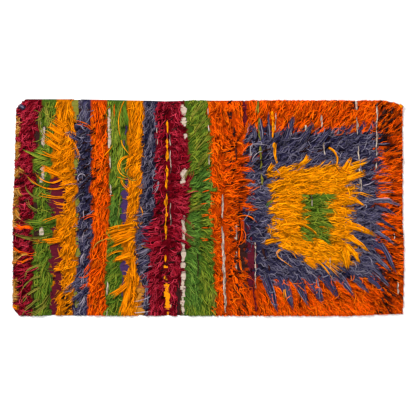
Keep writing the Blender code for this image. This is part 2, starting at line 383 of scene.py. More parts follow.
# %% How the wool lies in the striped part
Lie = namedtuple("Lie", "at yarn angle length lay over")
Lay = namedtuple("Lay", "splay curl wave")
LAYS = {
    "combed": Lay(8, 10, 15),
    "loose": Lay(12, 18, 11),
    "wavy": Lay(20, 28, 9),
    "curly": Lay(28, 43, 7.5),
    "matted": Lay(38, 50, 6),
}
OCHRE_PATCHES = ((14, 38), (51, 69), (88, 108), (111, 128), (140, 148), (156, 173), (181, 201))
ends_of_patches = [(at, yarn) for patch in OCHRE_PATCHES for at, yarn in zip(patch, ("ochre", "crimson"))]
LIES = {
    "left edge": [
        Lie(0, "crimson", 200, 10, "matted", 4),
        *(Lie(at, yarn, 183, 9, "matted", 4) for at, yarn in ends_of_patches),
        Lie(218, "crimson", 230, 9, "matted", 4),
    ],
    "crimson end": [
        Lie(0, "crimson", 240, 11, "matted", 0),
        Lie(42, "crimson", 195, 14, "wavy", 1),
        Lie(55, "crimson", 200, 11, "matted", 0),
        Lie(218, "crimson", 235, 11, "matted", 0),
    ],
    "green left": [
        Lie(0, "green", 255, 16, "loose", 0),
        Lie(37, "green", 262, 18, "loose", 0),
        Lie(55, "green", 240, 14, "wavy", 0.5),
        Lie(77, "green", 258, 16, "loose", 0.5),
        Lie(92, "green", 190, 16, "wavy", 4),
        Lie(105, "green", 262, 14, "loose", 0),
        Lie(133, "green", 256, 14, "loose", 0),
        Lie(147, "green", 235, 12, "wavy", 0),
        Lie(159, "green", 176, 18, "combed", 6),
        Lie(169, "green", 200, 12, "combed", 1),
        Lie(179, "green", 262, 20, "combed", 0),
        Lie(218, "green", 270, 24, "combed", 0),
    ],
    "gold left": [
        Lie(0, "amber", 240, 14, "wavy", 1),
        Lie(49, "amber", 225, 13, "wavy", 1),
        Lie(72, "amber", 255, 12, "wavy", 0),
        Lie(95, "amber", 225, 14, "wavy", 2),
        Lie(114, "amber", 235, 13, "wavy", 1),
        Lie(133, "amber", 205, 14, "wavy", 1),
        Lie(147, "amber", 205, 15, "wavy", 3),
        Lie(159, "amber", 240, 11, "curly", 1),
        Lie(174, "amber", 225, 13, "wavy", 3),
        Lie(187, "amber", 262, 18, "combed", 1),
        Lie(218, "amber", 270, 22, "combed", 0),
    ],
    "navy left": [
        Lie(0, "navy", 258, 12, "wavy", 0),
        Lie(21, "navy", 228, 16, "wavy", 2),
        Lie(42, "navy", 225, 15, "wavy", 2),
        Lie(55, "navy", 255, 11, "matted", 0),
        Lie(121, "navy", 225, 12, "curly", 2),
        Lie(131, "navy", 255, 11, "matted", 0),
        Lie(181, "navy", 240, 12, "matted", 3),
        Lie(191, "navy", 240, 12, "curly", 6),
        Lie(199, "navy", 262, 14, "loose", 0),
        Lie(218, "navy", 268, 18, "loose", 0),
    ],
    "orange left": [
        Lie(0, "orange", 268, 16, "loose", 0),
        Lie(55, "orange", 240, 16, "wavy", 1),
        Lie(81, "orange", 262, 15, "loose", 0),
        Lie(137, "orange", 258, 12, "curly", 0.5),
        Lie(179, "orange", 262, 12, "curly", 0.5),
        Lie(195, "orange", 268, 16, "loose", 0),
        Lie(218, "orange", 274, 20, "combed", 0),
    ],
    "green middle": [
        Lie(0, "green", 262, 15, "loose", 0),
        Lie(67, "green", 225, 13, "wavy", 0),
        Lie(95, "teal green", 255, 12, "loose", 0),
        Lie(122, "green", 262, 16, "loose", 0),
        Lie(157, "green", 262, 16, "loose", 0),
        Lie(172, "green", 268, 20, "combed", 0),
        Lie(218, "green", 278, 24, "combed", 0),
    ],
    "gold middle": [
        Lie(0, "amber", 264, 20, "combed", 0),
        Lie(55, "amber", 268, 20, "combed", 0),
        Lie(79, "amber", 255, 12, "loose", 0),
        Lie(82, "amber", 204, 22, "combed", 12),
        Lie(92, "amber", 192, 26, "combed", 18),
        Lie(97, "amber", 250, 14, "loose", 0),
        Lie(142, "amber", 250, 12, "wavy", 1),
        Lie(172, "amber", 235, 12, "wavy", 0.5),
        Lie(187, "amber", 262, 16, "loose", 0),
        Lie(218, "amber", 270, 24, "combed", 0),
    ],
    "slate": [
        Lie(0, "slate", 262, 14, "loose", 0),
        Lie(32, "slate", 255, 14, "wavy", 0),
        Lie(59, "slate", 215, 14, "curly", 3),
        Lie(81, "slate", 200, 15, "curly", 4),
        Lie(102, "slate", 215, 13, "curly", 1),
        Lie(127, "slate", 245, 12, "curly", 0),
        Lie(218, "slate", 266, 15, "wavy", 0),
    ],
    "crimson left": [
        Lie(0, "crimson", 262, 12, "wavy", 0),
        Lie(55, "crimson", 235, 10, "matted", 1),
        Lie(73, "crimson", 195, 13, "curly", 4),
        Lie(91, "crimson", 190, 14, "wavy", 6),
        Lie(101, "crimson", 230, 10, "matted", 0),
        Lie(137, "crimson", 215, 10, "matted", 1),
        Lie(218, "crimson", 262, 10, "matted", 0),
    ],
    "orange second": [
        Lie(0, "orange", -68, 18, "loose", 0),
        Lie(65, "orange", -62, 13, "curly", 0),
        Lie(77, "orange", -15, 14, "curly", 0),
        Lie(101, "orange", 5, 15, "curly", 0),
        Lie(112, "orange", 2, 15, "wavy", 0),
        Lie(132, "orange", 12, 16, "wavy", 1),
        Lie(145, "orange", 10, 13, "curly", -1),
        Lie(161, "orange", 15, 14, "wavy", 0),
        Lie(172, "orange", -30, 13, "curly", 0),
        Lie(197, "orange", -75, 14, "wavy", 0),
        Lie(218, "orange", -85, 17, "loose", 0),
    ],
    "orange first": [
        Lie(0, "orange", -72, 15, "loose", 1),
        Lie(72, "orange", -50, 12, "curly", 0.5),
        Lie(102, "orange", 200, 12, "curly", 0),
        Lie(121, "orange", -60, 12, "curly", 0.5),
        Lie(218, "orange", -88, 16, "wavy", 0.5),
    ],
    "green right second": [
        Lie(0, "green", -82, 16, "loose", 0),
        Lie(37, "green", -78, 16, "loose", 0),
        Lie(92, "green", -25, 13, "wavy", 1),
        Lie(112, "teal green", 0, 13, "wavy", 1),
        Lie(127, "teal green", 20, 14, "wavy", 1),
        Lie(145, "green", 38, 15, "loose", 0),
        Lie(218, "green", 58, 17, "loose", 0),
    ],
    "green right first": [
        Lie(0, "green", -84, 16, "loose", 0),
        Lie(17, "teal green", -80, 15, "loose", 0),
        Lie(105, "green", 5, 13, "wavy", 1),
        Lie(127, "teal green", 20, 13, "wavy", 1),
        Lie(141, "green", 38, 15, "loose", 1),
        Lie(218, "green", 56, 17, "loose", 1),
    ],
    "crimson right": [
        Lie(0, "crimson", -85, 12, "wavy", 0),
        Lie(67, "crimson", -50, 11, "matted", 0),
        Lie(79, "crimson", -25, 12, "curly", 2),
        Lie(103, "crimson", -15, 11, "matted", 1),
        Lie(127, "crimson", 0, 11, "matted", 2),
        Lie(218, "crimson", -80, 10, "matted", 0),
    ],
}
print(sum(len(places) for places in LIES.values()), "places where the way that the wool lies is given")

# %% [markdown]
# Here and there the wool parts and the ground shows. An opening is a strip that runs from one place to
# another along the rug's width. Some are clean and others are bridged by wool, so each has a width and a
# share of it that is broken by wool. Its first word is the colour that shows in it.

# %% Where the ground shows
Opening = namedtuple("Opening", "shows front back near far width broken")
OPENINGS = (
    Opening("brown", 22.5, 20, 5, 30, 1.35, 0.3),
    Opening("brown", 21.5, 21.5, 49, 60, 1.12, 0.3),
    Opening("brown", 24, 24.5, 77, 89, 2.04, 0.2),
    Opening("brown", 23.5, 23.5, 103, 115, 1.87, 0.2),
    Opening("brown", 24.5, 24.5, 131, 147, 2.04, 0.3),
    Opening("brown", 24, 26.5, 171, 205, 2.21, 0.2),
    Opening("beige", 29, 29, 81, 90, 2.2, 0),
    Opening("beige", 29.5, 31.5, 134, 153, 2.5, 0),
    Opening("beige", 31.5, 32, 169, 191, 2.7, 0),
    Opening("maroon", 41.5, 42.5, 0, 29, 3.6, 0),
    Opening("maroon", 45, 46.5, 22, 46, 4.6, 0),
    Opening("maroon", 42.5, 43.5, 42, 80, 5.4, 0),
    Opening("maroon", 40.5, 41.5, 82, 90, 3.6, 0.2),
    Opening("maroon", 44.5, 44, 99, 139, 8.4, 0),
    Opening("maroon", 44.5, 43.5, 189, 202, 1.12, 0.3),
    Opening("olive", 65.5, 63.5, 4, 26, 2.04, 0.4),
    Opening("olive", 65, 65.5, 47, 83, 2.2, 0.35),
    Opening("olive", 64.5, 65, 85, 121, 1.9, 0.45),
    Opening("olive", 63.5, 63.5, 141, 159, 2.46, 0.2),
    Opening("olive", 64.5, 64.5, 194, 211, 3.2, 0),
    Opening("beige", 64.5, 64.5, 209, 220, 4.0, 0.1),
    Opening("beige", 94.5, 95.5, 0, 53, 1.27, 0.55),
    Opening("beige", 98, 98, 109, 161, 1.12, 0.65),
    Opening("beige", 97, 97, 167, 209, 1.95, 0.15),
    Opening("purple", 110, 110.5, 14, 40, 1.35, 0.4),
    Opening("purple", 111.5, 111.5, 39, 57, 3.6, 0),
    Opening("purple", 111.5, 112, 93, 128, 3.4, 0),
    Opening("purple", 114, 114, 127, 139, 2.38, 0.2),
    Opening("purple", 111.5, 116, 171, 203, 1.2, 0.4),
    Opening("ochre", 128, 128, 0, 36, 4.0, 0),
    Opening("gold", 155.8, 153.5, 0, 38, 2.6, 0.15),
    Opening("gold", 152.5, 152, 38, 54, 2.2, 0.4),
    Opening("gold", 152.8, 155.3, 55, 205, 1.75, 0.55),
    Opening("beige", 158, 158, 91, 114, 0.72, 0.3),
    Opening("beige", 158.7, 157.3, 131, 190, 0.6, 0.4),
    Opening("beige", 170.5, 171, 0, 107, 1.95, 0.1),
    Opening("brown", 166.1, 166.1, 0, 36, 1.95, 0.1),
    Opening("beige", 169.5, 172.5, 131, 150, 2.72, 0.1),
    Opening("beige", 173, 169.8, 177, 217, 2.38, 0.35),
    Opening("beige", 144.8, 144.8, 171, 191, 0.54, 0.4),
    Opening("brown", 185.5, 185.5, 41, 76, 0.54, 0.3),
    Opening("beige", 197, 195, 152, 209, 0.66, 0.6),
    Opening("beige", 213, 209.8, 5, 91, 1.5, 0.06),
    Opening("beige", 210, 210, 93, 127, 0.9, 0.3),
    Opening("brown", 224, 221, 157, 189, 1.12, 0.5),
    Opening("brown", 217.5, 216.5, 197, 205, 1.87, 0.2),
    Opening("brown", 226.5, 226.5, 71, 117, 0.78, 0.5),
    Opening("brown", 224.5, 224.5, 77, 93, 1.87, 0.3),
    Opening("maroon", 232.5, 231.5, 189, 217, 1.87, 0.15),
    Opening("maroon", 244, 238.5, 0, 49, 1.35, 0.1),
    Opening("maroon", 238.5, 239, 27, 79, 4.6, 0),
    Opening("maroon", 235.5, 235.5, 81, 95, 2.12, 0.4),
    Opening("brown", 228, 228.5, 43, 75, 4.8, 0.05),
    Opening("beige", 243, 242.8, 17, 81, 0.4, 0.1),
    Opening("beige", 238.1, 238.1, 149, 171, 0.48, 0.4),
    Opening("olive", 249.5, 245.3, 131, 218, 1.75, 0.5),
    Opening("gold", 260.5, 259.8, 179, 205, 1.5, 0.2),
    Opening("gold", 262.3, 262, 157, 174, 1.78, 0.3),
    Opening("beige", 262.9, 262.8, 181, 205, 0.54, 0.2),
    Opening("beige", 278.8, 278.3, 181, 198, 0.54, 0.2),
    Opening("beige", 293.5, 293.1, 177, 191, 1.75, 0),
    Opening("beige", 312.5, 307, 155, 214, 0.9, 0.5),
    Opening("beige", 348.5, 343.2, 115, 208, 1.0, 0.5),
    Opening("beige", 342.6, 342.6, 206, 219, 3.4, 0),
    Opening("beige", 363.3, 364, 147, 217, 1.3, 0.45),
    Opening("beige", 299.7, 298.8, 88, 123, 0.66, 0.5),
    Opening("beige", 317.5, 317.5, 47, 63, 0.6, 0.3),
    Opening("brown", 287, 287, 5, 35, 0.6, 0.3),
    Opening("brown", 257.5, 248.5, 45, 73, 1.2, 0.4),
    Opening("beige", 384.5, 384.5, 0, 39, 1.05, 0.5),
    Opening("beige", 381, 380.5, 49, 203, 0.54, 0.8),
)
print(len(OPENINGS), "openings")

# %% [markdown]
# An opening's edges wander: its middle, its width and the places where wool bridges it all follow sums of
# waves, which are shifted from one opening to the next so that no two look alike. It narrows to a point at
# both ends.

# %% Measure from the openings
Ripple = namedtuple("Ripple", "height pace shift")
MIDDLE_RIPPLES = (Ripple(0.35, 0.31, 2), Ripple(0.15, 0.8, 1))
WIDTH_RIPPLES = (Ripple(0.35, 0.55, 3),)
BRIDGES = (Ripple(1, 0.23, 1.7), Ripple(1, 0.43, 2.9), Ripple(0.5, 1.1, 0))
HIGHEST_BRIDGE = 2.2
TAPER = 6
WIDE_OPENING = 1.8
CLOSED = 0.2
FAR_AWAY = 99.0
opening_widths = np.array([opening.width for opening in OPENINGS])


def rippled(ripples, number, y):
    """The sum of some ripples at y, shifted by an opening's number."""
    return sum(ripple.height * np.sin(y * ripple.pace + ripple.shift * number) for ripple in ripples)


def middle_and_width(number, y):
    """Where the middle of an opening runs at y, and how wide it is there to each side."""
    opening = OPENINGS[number]
    along = (y - opening.near) / (opening.far - opening.near)
    middle = opening.front + (opening.back - opening.front) * along + rippled(MIDDLE_RIPPLES, number, y)
    bridge_starts = HIGHEST_BRIDGE * (1 - 2 * opening.broken)
    open_share = np.clip((bridge_starts - rippled(BRIDGES, number, y)) * 2, 0, 1)
    taper = np.sqrt(np.clip(np.minimum(along, 1 - along) * TAPER, 0, 1))
    return middle, opening.width * taper * open_share * (1 + rippled(WIDTH_RIPPLES, number, y))


def by_openings(x, y):
    """How far outside the nearest opening places lie, negative in it, and the number of that opening."""
    room, nearest = np.full(np.shape(x), FAR_AWAY), np.zeros(np.shape(x), dtype=int)
    for number, opening in enumerate(OPENINGS):
        middle, width = middle_and_width(number, y)
        is_open = (y > opening.near) & (y < opening.far) & (width > CLOSED)
        own = np.where(is_open, np.abs(x - middle) - width, FAR_AWAY)
        nearest = np.where(own < room, number, nearest)
        room = np.minimum(room, own)
    return room, nearest


print((opening_widths >= WIDE_OPENING).sum(), "of the openings are wide")

# %% [markdown]
# The other half of the rug has nested squares: an orange field, a navy square, a gold one in it, and a
# green one in the middle. The wool there is combed outwards from the middle: it lies straight to the right
# halfway across, slants to the back above that and to the front below. That is a rule rather than a table,
# so a function gives the angle, and a short table gives the squares, each by the first and last row and
# the places along a row between which its knots lie.

# %% How the wool lies in the squares
Nested = namedtuple("Nested", "yarn left right near far length curl")
SQUARES = (
    Nested("green", 286, 306, 79, 122, 15, 24),
    Nested("gold", 254, 327, 58, 146, 17, 27),
    Nested("navy", 230, 359, 40, 180, 15, 40),
    Nested("orange", 220, 410, -5, 225, 17, 30),
)
MIDDLE = 106
STEEPEST = ((235, 84), (262, 76), (300, 62), (345, 55), (390, 48))
STEEPEST_FROM_MIDDLE = 96
STEEPENS = 0.6
WAVE_IN_SQUARES = 9
SPLAY_IN_SQUARES = 18
CUT_FROM, CUT_SLOPE = 292, 0.55
DRAWN_OUT_FROM = (318, 134)
DRAWN_OUT_OVER = (8, 6)
DRAWN_OUT_BY = (5, 3)


def combed(x, y):
    """The angle of the wool in the squares. It steepens slowly at first, away from the middle."""
    away = np.clip((y - MIDDLE) / STEEPEST_FROM_MIDDLE, -1, 1)
    return np.interp(x, *zip(*STEEPEST)) * away * abs(away) ** STEEPENS


def is_in(square, x, y):
    """Whether a place is in a nested square. The gold one has its front left corner cut off at a slant, and
    its back right one drawn out to the right and to the back."""
    cut, right, far = 0, square.right, square.far
    if square.yarn == "gold":
        cut = max(0, (CUT_FROM - x) * CUT_SLOPE)
        right += DRAWN_OUT_BY[0] * float(smooth((y - DRAWN_OUT_FROM[1]) / DRAWN_OUT_OVER[1]))
        far += DRAWN_OUT_BY[1] * float(smooth((x - DRAWN_OUT_FROM[0]) / DRAWN_OUT_OVER[0]))
    return square.left <= x <= right and square.near + cut <= y <= far


Fall = namedtuple("Fall", "yarn angle length over splay curl wave")


def fall_in_squares(x, y):
    """How a knot's wool lies at a place among the squares."""
    square = next(square for square in SQUARES if is_in(square, x, y))
    return Fall(square.yarn, combed(x, y), square.length, 0, SPLAY_IN_SQUARES, square.curl, WAVE_IN_SQUARES)


def fall_in_stripes(band, y):
    """How a knot's wool lies at y along a band of the striped part."""
    places = LIES[band.name]
    number = max(sum(lie.at <= y for lie in places) - 1, 0)
    before, after = places[number], places[min(number + 1, len(places) - 1)]
    share = 0.0 if after is before else (y - before.at) / (after.at - before.at)
    share = min(max(share, 0.0), 1.0)
    starts, ends = ((lie.angle, lie.length, lie.over, *LAYS[lie.lay]) for lie in (before, after))
    return Fall(before.yarn, *(a + (b - a) * share for a, b in zip(starts, ends)))


def fall_at(band, x, y):
    """How a knot's wool lies at a place in a band."""
    return fall_in_squares(x, y) if band.name == "squares" else fall_in_stripes(band, y)


print("the wool's angle near the back edge:", round(float(combed(300, 200))), "degrees")

# %% [markdown]
# ## One lock of wool
#
# Each knot holds a lock of six strands. Every strand is the same thin rod, bent along its own path. A
# curve object with a bevel for each would be far too many objects, so the rod is modelled once: a
# three-sided cylinder, cut across into short lengths so that it can bend, and drawn to a point at its tip.
# The curliest wool has a rod with more lengths.

# %% The rod that every strand is bent from
SIDES = 3
TOP = 0.5
Rod = namedtuple("Rod", "lengths around along faces")


def rod(lengths):
    """A rod of unit length with a pointed tip: where each vertex lies around and along it, and its faces."""
    shape = bmesh.new()
    bmesh.ops.create_cone(shape, cap_ends=True, segments=SIDES, radius1=1, radius2=1, depth=2 * TOP)
    long_edges = [edge for edge in shape.edges if abs(edge.verts[0].co.z - edge.verts[1].co.z) > TOP]
    bmesh.ops.subdivide_edges(shape, edges=long_edges, cuts=lengths - 1, use_grid_fill=True)
    top = [vertex for vertex in shape.verts if vertex.co.z > TOP * 0.999]
    bmesh.ops.pointmerge(shape, verts=top, merge_co=(0, 0, TOP))
    shape.verts.index_update()
    places = np.array([vertex.co[:] for vertex in shape.verts])
    faces = [[vertex.index for vertex in face.verts] for face in shape.faces]
    shape.free()
    around = np.arctan2(places[:, 1], places[:, 0])
    return Rod(lengths, around, places[:, 2] + TOP, faces)


strand_rod = rod(5)
curl_rod = rod(9)
for made in (strand_rod, curl_rod):
    print(made.lengths, "lengths,", sum(len(face) - 2 for face in made.faces), "triangles")

# %% [markdown]
# ## Laying the wool down
#
# A particle system could grow such a pile, but its hairs pass through one another and stand the same all
# over. Here the rug is made as it lies: a height map over the plan remembers how high the wool already is,
# each new strand comes to rest on it, and the map is raised where the strand lies. Wool gives, so a strand
# sinks a little into what is below. A lock is a soft felted body with loose strands over it. The body only
# swells the map here, and notes its yarn, because all the bodies together will become one felt. The bands
# are laid outermost first, as they overlap on the real rug.

# %% The height map
CELL = 0.8
BORDER = 8.0
SINK = 0.84
ROOT_SINK = 0.5
SETTLINGS = 6
map_size = (int((PLAN_LENGTH + 2 * BORDER) / CELL) + 1, int((PLAN_WIDTH + 2 * BORDER) / CELL) + 1)
wool_top = np.full(map_size, GROUND_THICK)
yarn_on_top = np.full(map_size, -1)
chance = np.random.default_rng(11)


def cells(x, y):
    """The cells of the height map that places on the plan fall in."""
    column = np.clip(((x + BORDER) / CELL).astype(int), 0, map_size[0] - 1)
    line = np.clip(((y + BORDER) / CELL).astype(int), 0, map_size[1] - 1)
    return column, line


def rest_on_wool(path, lift):
    """The heights at which paths rest on the wool that is there. Their roots are sunk in it, and they bridge
    what lies between two high places."""
    rest = GROUND_THICK + (wool_top[cells(path.x, path.y)] - GROUND_THICK) * SINK + lift
    rest[:, 0] = GROUND_THICK + (rest[:, 0] - GROUND_THICK) * ROOT_SINK
    height = rest.copy()
    for _ in range(SETTLINGS):
        level = (height[:, :-2] + height[:, 2:]) / 2
        height[:, 1:-1] = np.maximum(rest[:, 1:-1], (height[:, 1:-1] + level) / 2)
    return height


def lay_down(path, lift):
    """Lays thin strands down, raises the map under them, and returns their heights."""
    height = rest_on_wool(path, lift)
    np.maximum.at(wool_top, cells(path.x, path.y), height + lift)
    return height


print("height map:", map_size[0], "by", map_size[1], "cells")

# %% [markdown]
# A felted body is wider than a cell, so it raises several cells beside its path, least at its flanks.

# %% Felted bodies
BODY_LIFT = 0.35
ACROSS_BODY = (-0.9, -0.45, 0, 0.45, 0.9)
NO_LENGTH = 1e-9


def felt(path, radius, yarn):
    """Raises the map under the felted bodies of locks, and notes which yarn lies on top there. radius has a
    row for each lock, and a column for each step of its path or one for all."""
    height = rest_on_wool(path, radius * BODY_LIFT)
    ahead_x, ahead_y = np.gradient(path.x, axis=1), np.gradient(path.y, axis=1)
    size = np.hypot(ahead_x, ahead_y) + NO_LENGTH
    for aside in ACROSS_BODY:
        reach = aside * radius / SQUARE
        beside = cells(path.x - ahead_y / size * reach, path.y + ahead_x / size * reach)
        swell = radius * BODY_LIFT * math.sqrt(1 - aside ** 2)
        np.maximum.at(wool_top, beside, height + swell)
        yarn_on_top[beside] = np.broadcast_to(yarn[:, None], path.x.shape)


print("a body is raised along", len(ACROSS_BODY), "lines")

# %% [markdown]
# Matted wool also has small hollows, where it has parted and one looks down into the dark between the
# locks. They are drawn on the same cells: random specks, each mixed with those before and behind it along
# the way the wool lies, so that they come out as short dashes, dark with painted shade: most strands keep
# out of them, and the felt in them is painted almost black. Worn places have more of them.

# %% Hollows
HOLLOW_LEVEL = 1.5
HOLLOW_REACH = 3.6
HOLLOW_SLOPE = 3
STRIPE_COMB = 25
Worn = namedtuple("Worn", "x y reach_x reach_y more")
WORN_PLACES = (
    Worn(10, 60, 16, 60, 0.2),
    Worn(52, 12, 7, 12, 0.4),
    Worn(74, 150, 10, 60, 0.25),
    Worn(150, 120, 12, 120, 0.12),
    Worn(220, 150, 12, 45, 0.14),
    Worn(226, 62, 16, 60, 0.27),
    Worn(245, 165, 12, 30, 0.2),
    Worn(300, 172, 50, 10, 0.15),
    Worn(370, 200, 14, 40, 0.25),
    Worn(374, 30, 12, 32, 0.48),
    Worn(374, 188, 11, 28, 0.4),
    Worn(380, 110, 14, 90, 0.14),
)


def blurred(values):
    """Values over the plan, each mixed with its neighbours."""
    for axis in (0, 1):
        values = (np.roll(values, 1, axis) + 2 * values + np.roll(values, -1, axis)) / 4
    return values


def worn_at(x, y):
    """How worn places are, from 0 where the wool is full."""
    away = [((x - worn.x) / worn.reach_x) ** 2 + ((y - worn.y) / worn.reach_y) ** 2 for worn in WORN_PLACES]
    return np.maximum.reduce([worn.more * np.exp(-far) for worn, far in zip(WORN_PLACES, away)])


def way_of_wool(x, y):
    """The angle along which hollows and gaps are drawn out, in radians."""
    return np.radians(np.where(x > SQUARES[-1].left, combed(x, y), STRIPE_COMB))


def hollow_map():
    """For each cell, how far it is from being in a hollow: below 0 in one."""
    columns, lines = np.meshgrid(np.arange(map_size[0]), np.arange(map_size[1]), indexing="ij")
    x, y = columns * CELL - BORDER, lines * CELL - BORDER
    way = way_of_wool(x, y)
    specks = blurred(chance.normal(0, 1, map_size))
    steps = np.arange(-HOLLOW_REACH, HOLLOW_REACH + 0.1, CELL)
    drawn = sum(specks[cells(x + step * np.cos(way), y + step * np.sin(way))] for step in steps)
    return (HOLLOW_LEVEL - drawn / drawn.std()) / HOLLOW_SLOPE - worn_at(x, y)


hollows = hollow_map()
print(round((hollows < 0).mean() * 100, 1), "% of the rug is hollow")

# %% [markdown]
# A strand's path is drawn by walking: at each short step it has a direction, which starts towards its
# row's side, swings round to the angle that the table gives, fans out from its lock, and wriggles. Where
# it would leave the rug it is trimmed, as the weaver trims it, a little unevenly.

# %% The path of a strand
STEPS = 26
FEWEST_STEPS = 2
TURN = 5.0
TURNED_AT_ROOT = 1.5
CURLS_FROM = 2
Path = namedtuple("Path", "x y")


def walk(x, y, leans, fall, fan, wriggle):
    """Paths on the plan, one for each x. fall holds arrays: the angle, length, curl and wave of each."""
    share = np.linspace(0, 1, STEPS)
    gone = share * fall["length"][:, None]
    swing = (fall["angle"] - leans + 180) % 360 - 180
    direction = leans[:, None] + swing[:, None] * smooth((gone + TURNED_AT_ROOT) / TURN)
    direction = direction + fan[:, None] * share
    waves = np.sin(2 * np.pi * (gone / fall["wave"][:, None] + wriggle[:, None]))
    direction = np.radians(direction + fall["curl"][:, None] * waves * smooth(gone / CURLS_FROM))
    stride = fall["length"][:, None] / (STEPS - 1)
    across_rug = x[:, None] + np.cumsum(np.cos(direction) * stride, axis=1)
    up_rug = y[:, None] + np.cumsum(np.sin(direction) * stride, axis=1)
    return Path(across_rug, up_rug)


def at_share(values, place):
    """Values along paths, read between their steps."""
    low = np.minimum(place.astype(int), values.shape[1] - 2)
    part = place - low
    rows = np.arange(len(values))[:, None]
    return values[rows, low] * (1 - part) + values[rows, low + 1] * part


def trimmed(path, room):
    """The paths, each ended where it has no room left, and for each whether it was cut short."""
    outside = room < 0
    kept = np.where(outside.any(axis=1), outside.argmax(axis=1), STEPS - 1)
    kept = np.maximum(kept, FEWEST_STEPS)
    place = np.linspace(0, 1, STEPS)[None, :] * kept[:, None]
    return Path(at_share(path.x, place), at_share(path.y, place)), outside.any(axis=1)


print("a path has", STEPS, "steps")

# %% [markdown]
# Now the knots are tied. They stand a little unevenly along their row, none is tied where the ground
# shows, and each takes its yarn and the way its wool falls from the place where it stands.

# %% Tie the knots
KNOT_PITCH = 5.4
KNOTS_IN_LINE = int(PLAN_WIDTH / KNOT_PITCH) + 1
FIRST_KNOT, LAST_KNOT = 1.0, PLAN_WIDTH - 1.8
STRAY_ALONG, STRAY_ACROSS = 1.8, 1.6
ROOM_FOR_KNOT = 0.4
LINE_GAP = 4.2
MOST_LINES = 40
Knot = namedtuple("Knot", "x y fall")


def tie_line(band, line):
    """The knots of one line of a band: where they are, and how their wool falls."""
    knots = []
    last = KNOTS_IN_LINE - 1
    for number in range(KNOTS_IN_LINE):
        y = FIRST_KNOT + (LAST_KNOT - FIRST_KNOT) * number / last
        y += 0 if number in (0, last) else chance.uniform(-STRAY_ALONG, STRAY_ALONG)
        near, far = line_at(band.near, y), line_at(band.far, y)
        lines_here = max(1, round(abs(far - near) / LINE_GAP))
        x = near + (far - near) * (line + 0.1) / lines_here + chance.uniform(-STRAY_ACROSS, STRAY_ACROSS)
        if line >= lines_here or room_inside(x, y) < ROOM_FOR_KNOT or by_openings(x, y)[0] < 0:
            continue
        knots.append(Knot(x, y, fall_at(band, x, y)))
    return knots


print("at most", KNOTS_IN_LINE, "knots in a line")

# %% [markdown]
# A single strand is laid by the next function, whatever lock it belongs to. It is trimmed at the rug's
# edge, a little raggedly, and rests on the wool below. Its looks are its yarn, how much lighter or darker it
# is, how much it leans to the second dye, and how light its root is kept under painted shade. A few strands
# are dyed much darker, as painted shade for the dark between the locks, and more of them in worn places.

# %% Lay single strands
PAINTED_SHADE_SHARE = 0.1
PAINTED_SHADE_IN_WORN = 0.6
DARKEST, LEAST_DARK = -1.5, -0.5
LOCK_SHADE = 0.7
SHADE_MIDDLE, SHADE_SPREAD = 0.13, 0.17
SECOND_DYE_IS_RARE = 3
RAGGED = (0.1, 0.7)
FIRST_STEPS, OUTSIDE = 3, -0.1
REACH_BACK = 1.5
Looks = namedtuple("Looks", "yarn shade tint root")
Wool = namedtuple("Wool", "rod x y z radius yarn shade tint root cut")
yarn_names = list(YARNS)


def lay_strands(path, radius, lift, looks, kind):
    """Lays one strand of each of some locks, and returns them as wool. lift is how many of its radii a strand
    lies above what it rests on."""
    first_x, first_y = path.x[:, :FIRST_STEPS], path.y[:, :FIRST_STEPS]
    starts_inside = room_inside(first_x, first_y).min(axis=1) > OUTSIDE
    path = Path(path.x[starts_inside], path.y[starts_inside])
    radius, looks = radius[starts_inside], Looks(*(values[starts_inside] for values in looks))
    ragged = chance.uniform(*RAGGED, len(radius))[:, None]
    path, cut = trimmed(path, room_inside(path.x, path.y) - ragged)
    z = lay_down(path, radius[:, None] * lift)
    # Painted shade: a share of the strands, larger in worn places, is dyed dark for the shade between the
    # locks.
    painted_shade_share = PAINTED_SHADE_SHARE + worn_at(path.x[:, 0], path.y[:, 0]) * PAINTED_SHADE_IN_WORN
    in_painted_shade = chance.uniform(0, 1, len(radius)) < painted_shade_share
    dark = chance.uniform(DARKEST, LEAST_DARK, len(radius))
    lit = looks.shade * LOCK_SHADE + chance.normal(SHADE_MIDDLE, SHADE_SPREAD, len(radius))
    shade = np.where(in_painted_shade, dark, lit)
    tint = looks.tint + chance.uniform(0, 1, len(radius)) ** SECOND_DYE_IS_RARE
    return Wool(kind, path.x, path.y, z, radius, looks.yarn, shade, tint, looks.root, cut)


def room_in_band(band, over, path):
    """How far inside a band's lines the steps of paths lie, where wool may reach over the far one."""
    side = 1 if band.leans == RIGHT else -1
    from_near = (path.x - line_at(band.near, path.y)) * side + REACH_BACK
    from_far = (line_at(band.far, path.y) - path.x) * side + over[:, None]
    return np.minimum(from_near, from_far)


print(round(PAINTED_SHADE_SHARE * 100), "% of the strands lie in the dark")

# %% [markdown]
# Wool stops at a wide opening and may cross a narrow one, and here and there a strand bridges even a wide
# one. How far its steps may go is worked out for all the steps at once, because that is much faster.

# %% Room at the openings
CROSS_WIDE, CROSS_NARROW = 0.1, 0.25
CROSS_FAR, CROSS_BIT, CROSS_SPREAD = 3, 0.6, 0.4


def room_at_openings(path):
    """How far the steps of paths may still go before the edge of an opening, which some strands cross."""
    size = len(path.x)
    crossing = chance.uniform(0, 1, size)[:, None]
    room, nearest = by_openings(path.x, path.y)
    wide = opening_widths[nearest] >= WIDE_OPENING
    over_wide = CROSS_BIT + (crossing < CROSS_WIDE) * CROSS_FAR
    over_narrow = (crossing < CROSS_NARROW) * CROSS_FAR
    bridge = np.where(wide, over_wide, over_narrow)
    return room + bridge + chance.uniform(-CROSS_SPREAD, CROSS_SPREAD, size)[:, None]


print(round(CROSS_NARROW * 100), "% of the strands may cross a narrow opening")

# %% [markdown]
# The six strands of a knot fan out from it and keep its waves, but each is a little longer or shorter, curls
# more or less and starts beside the others.

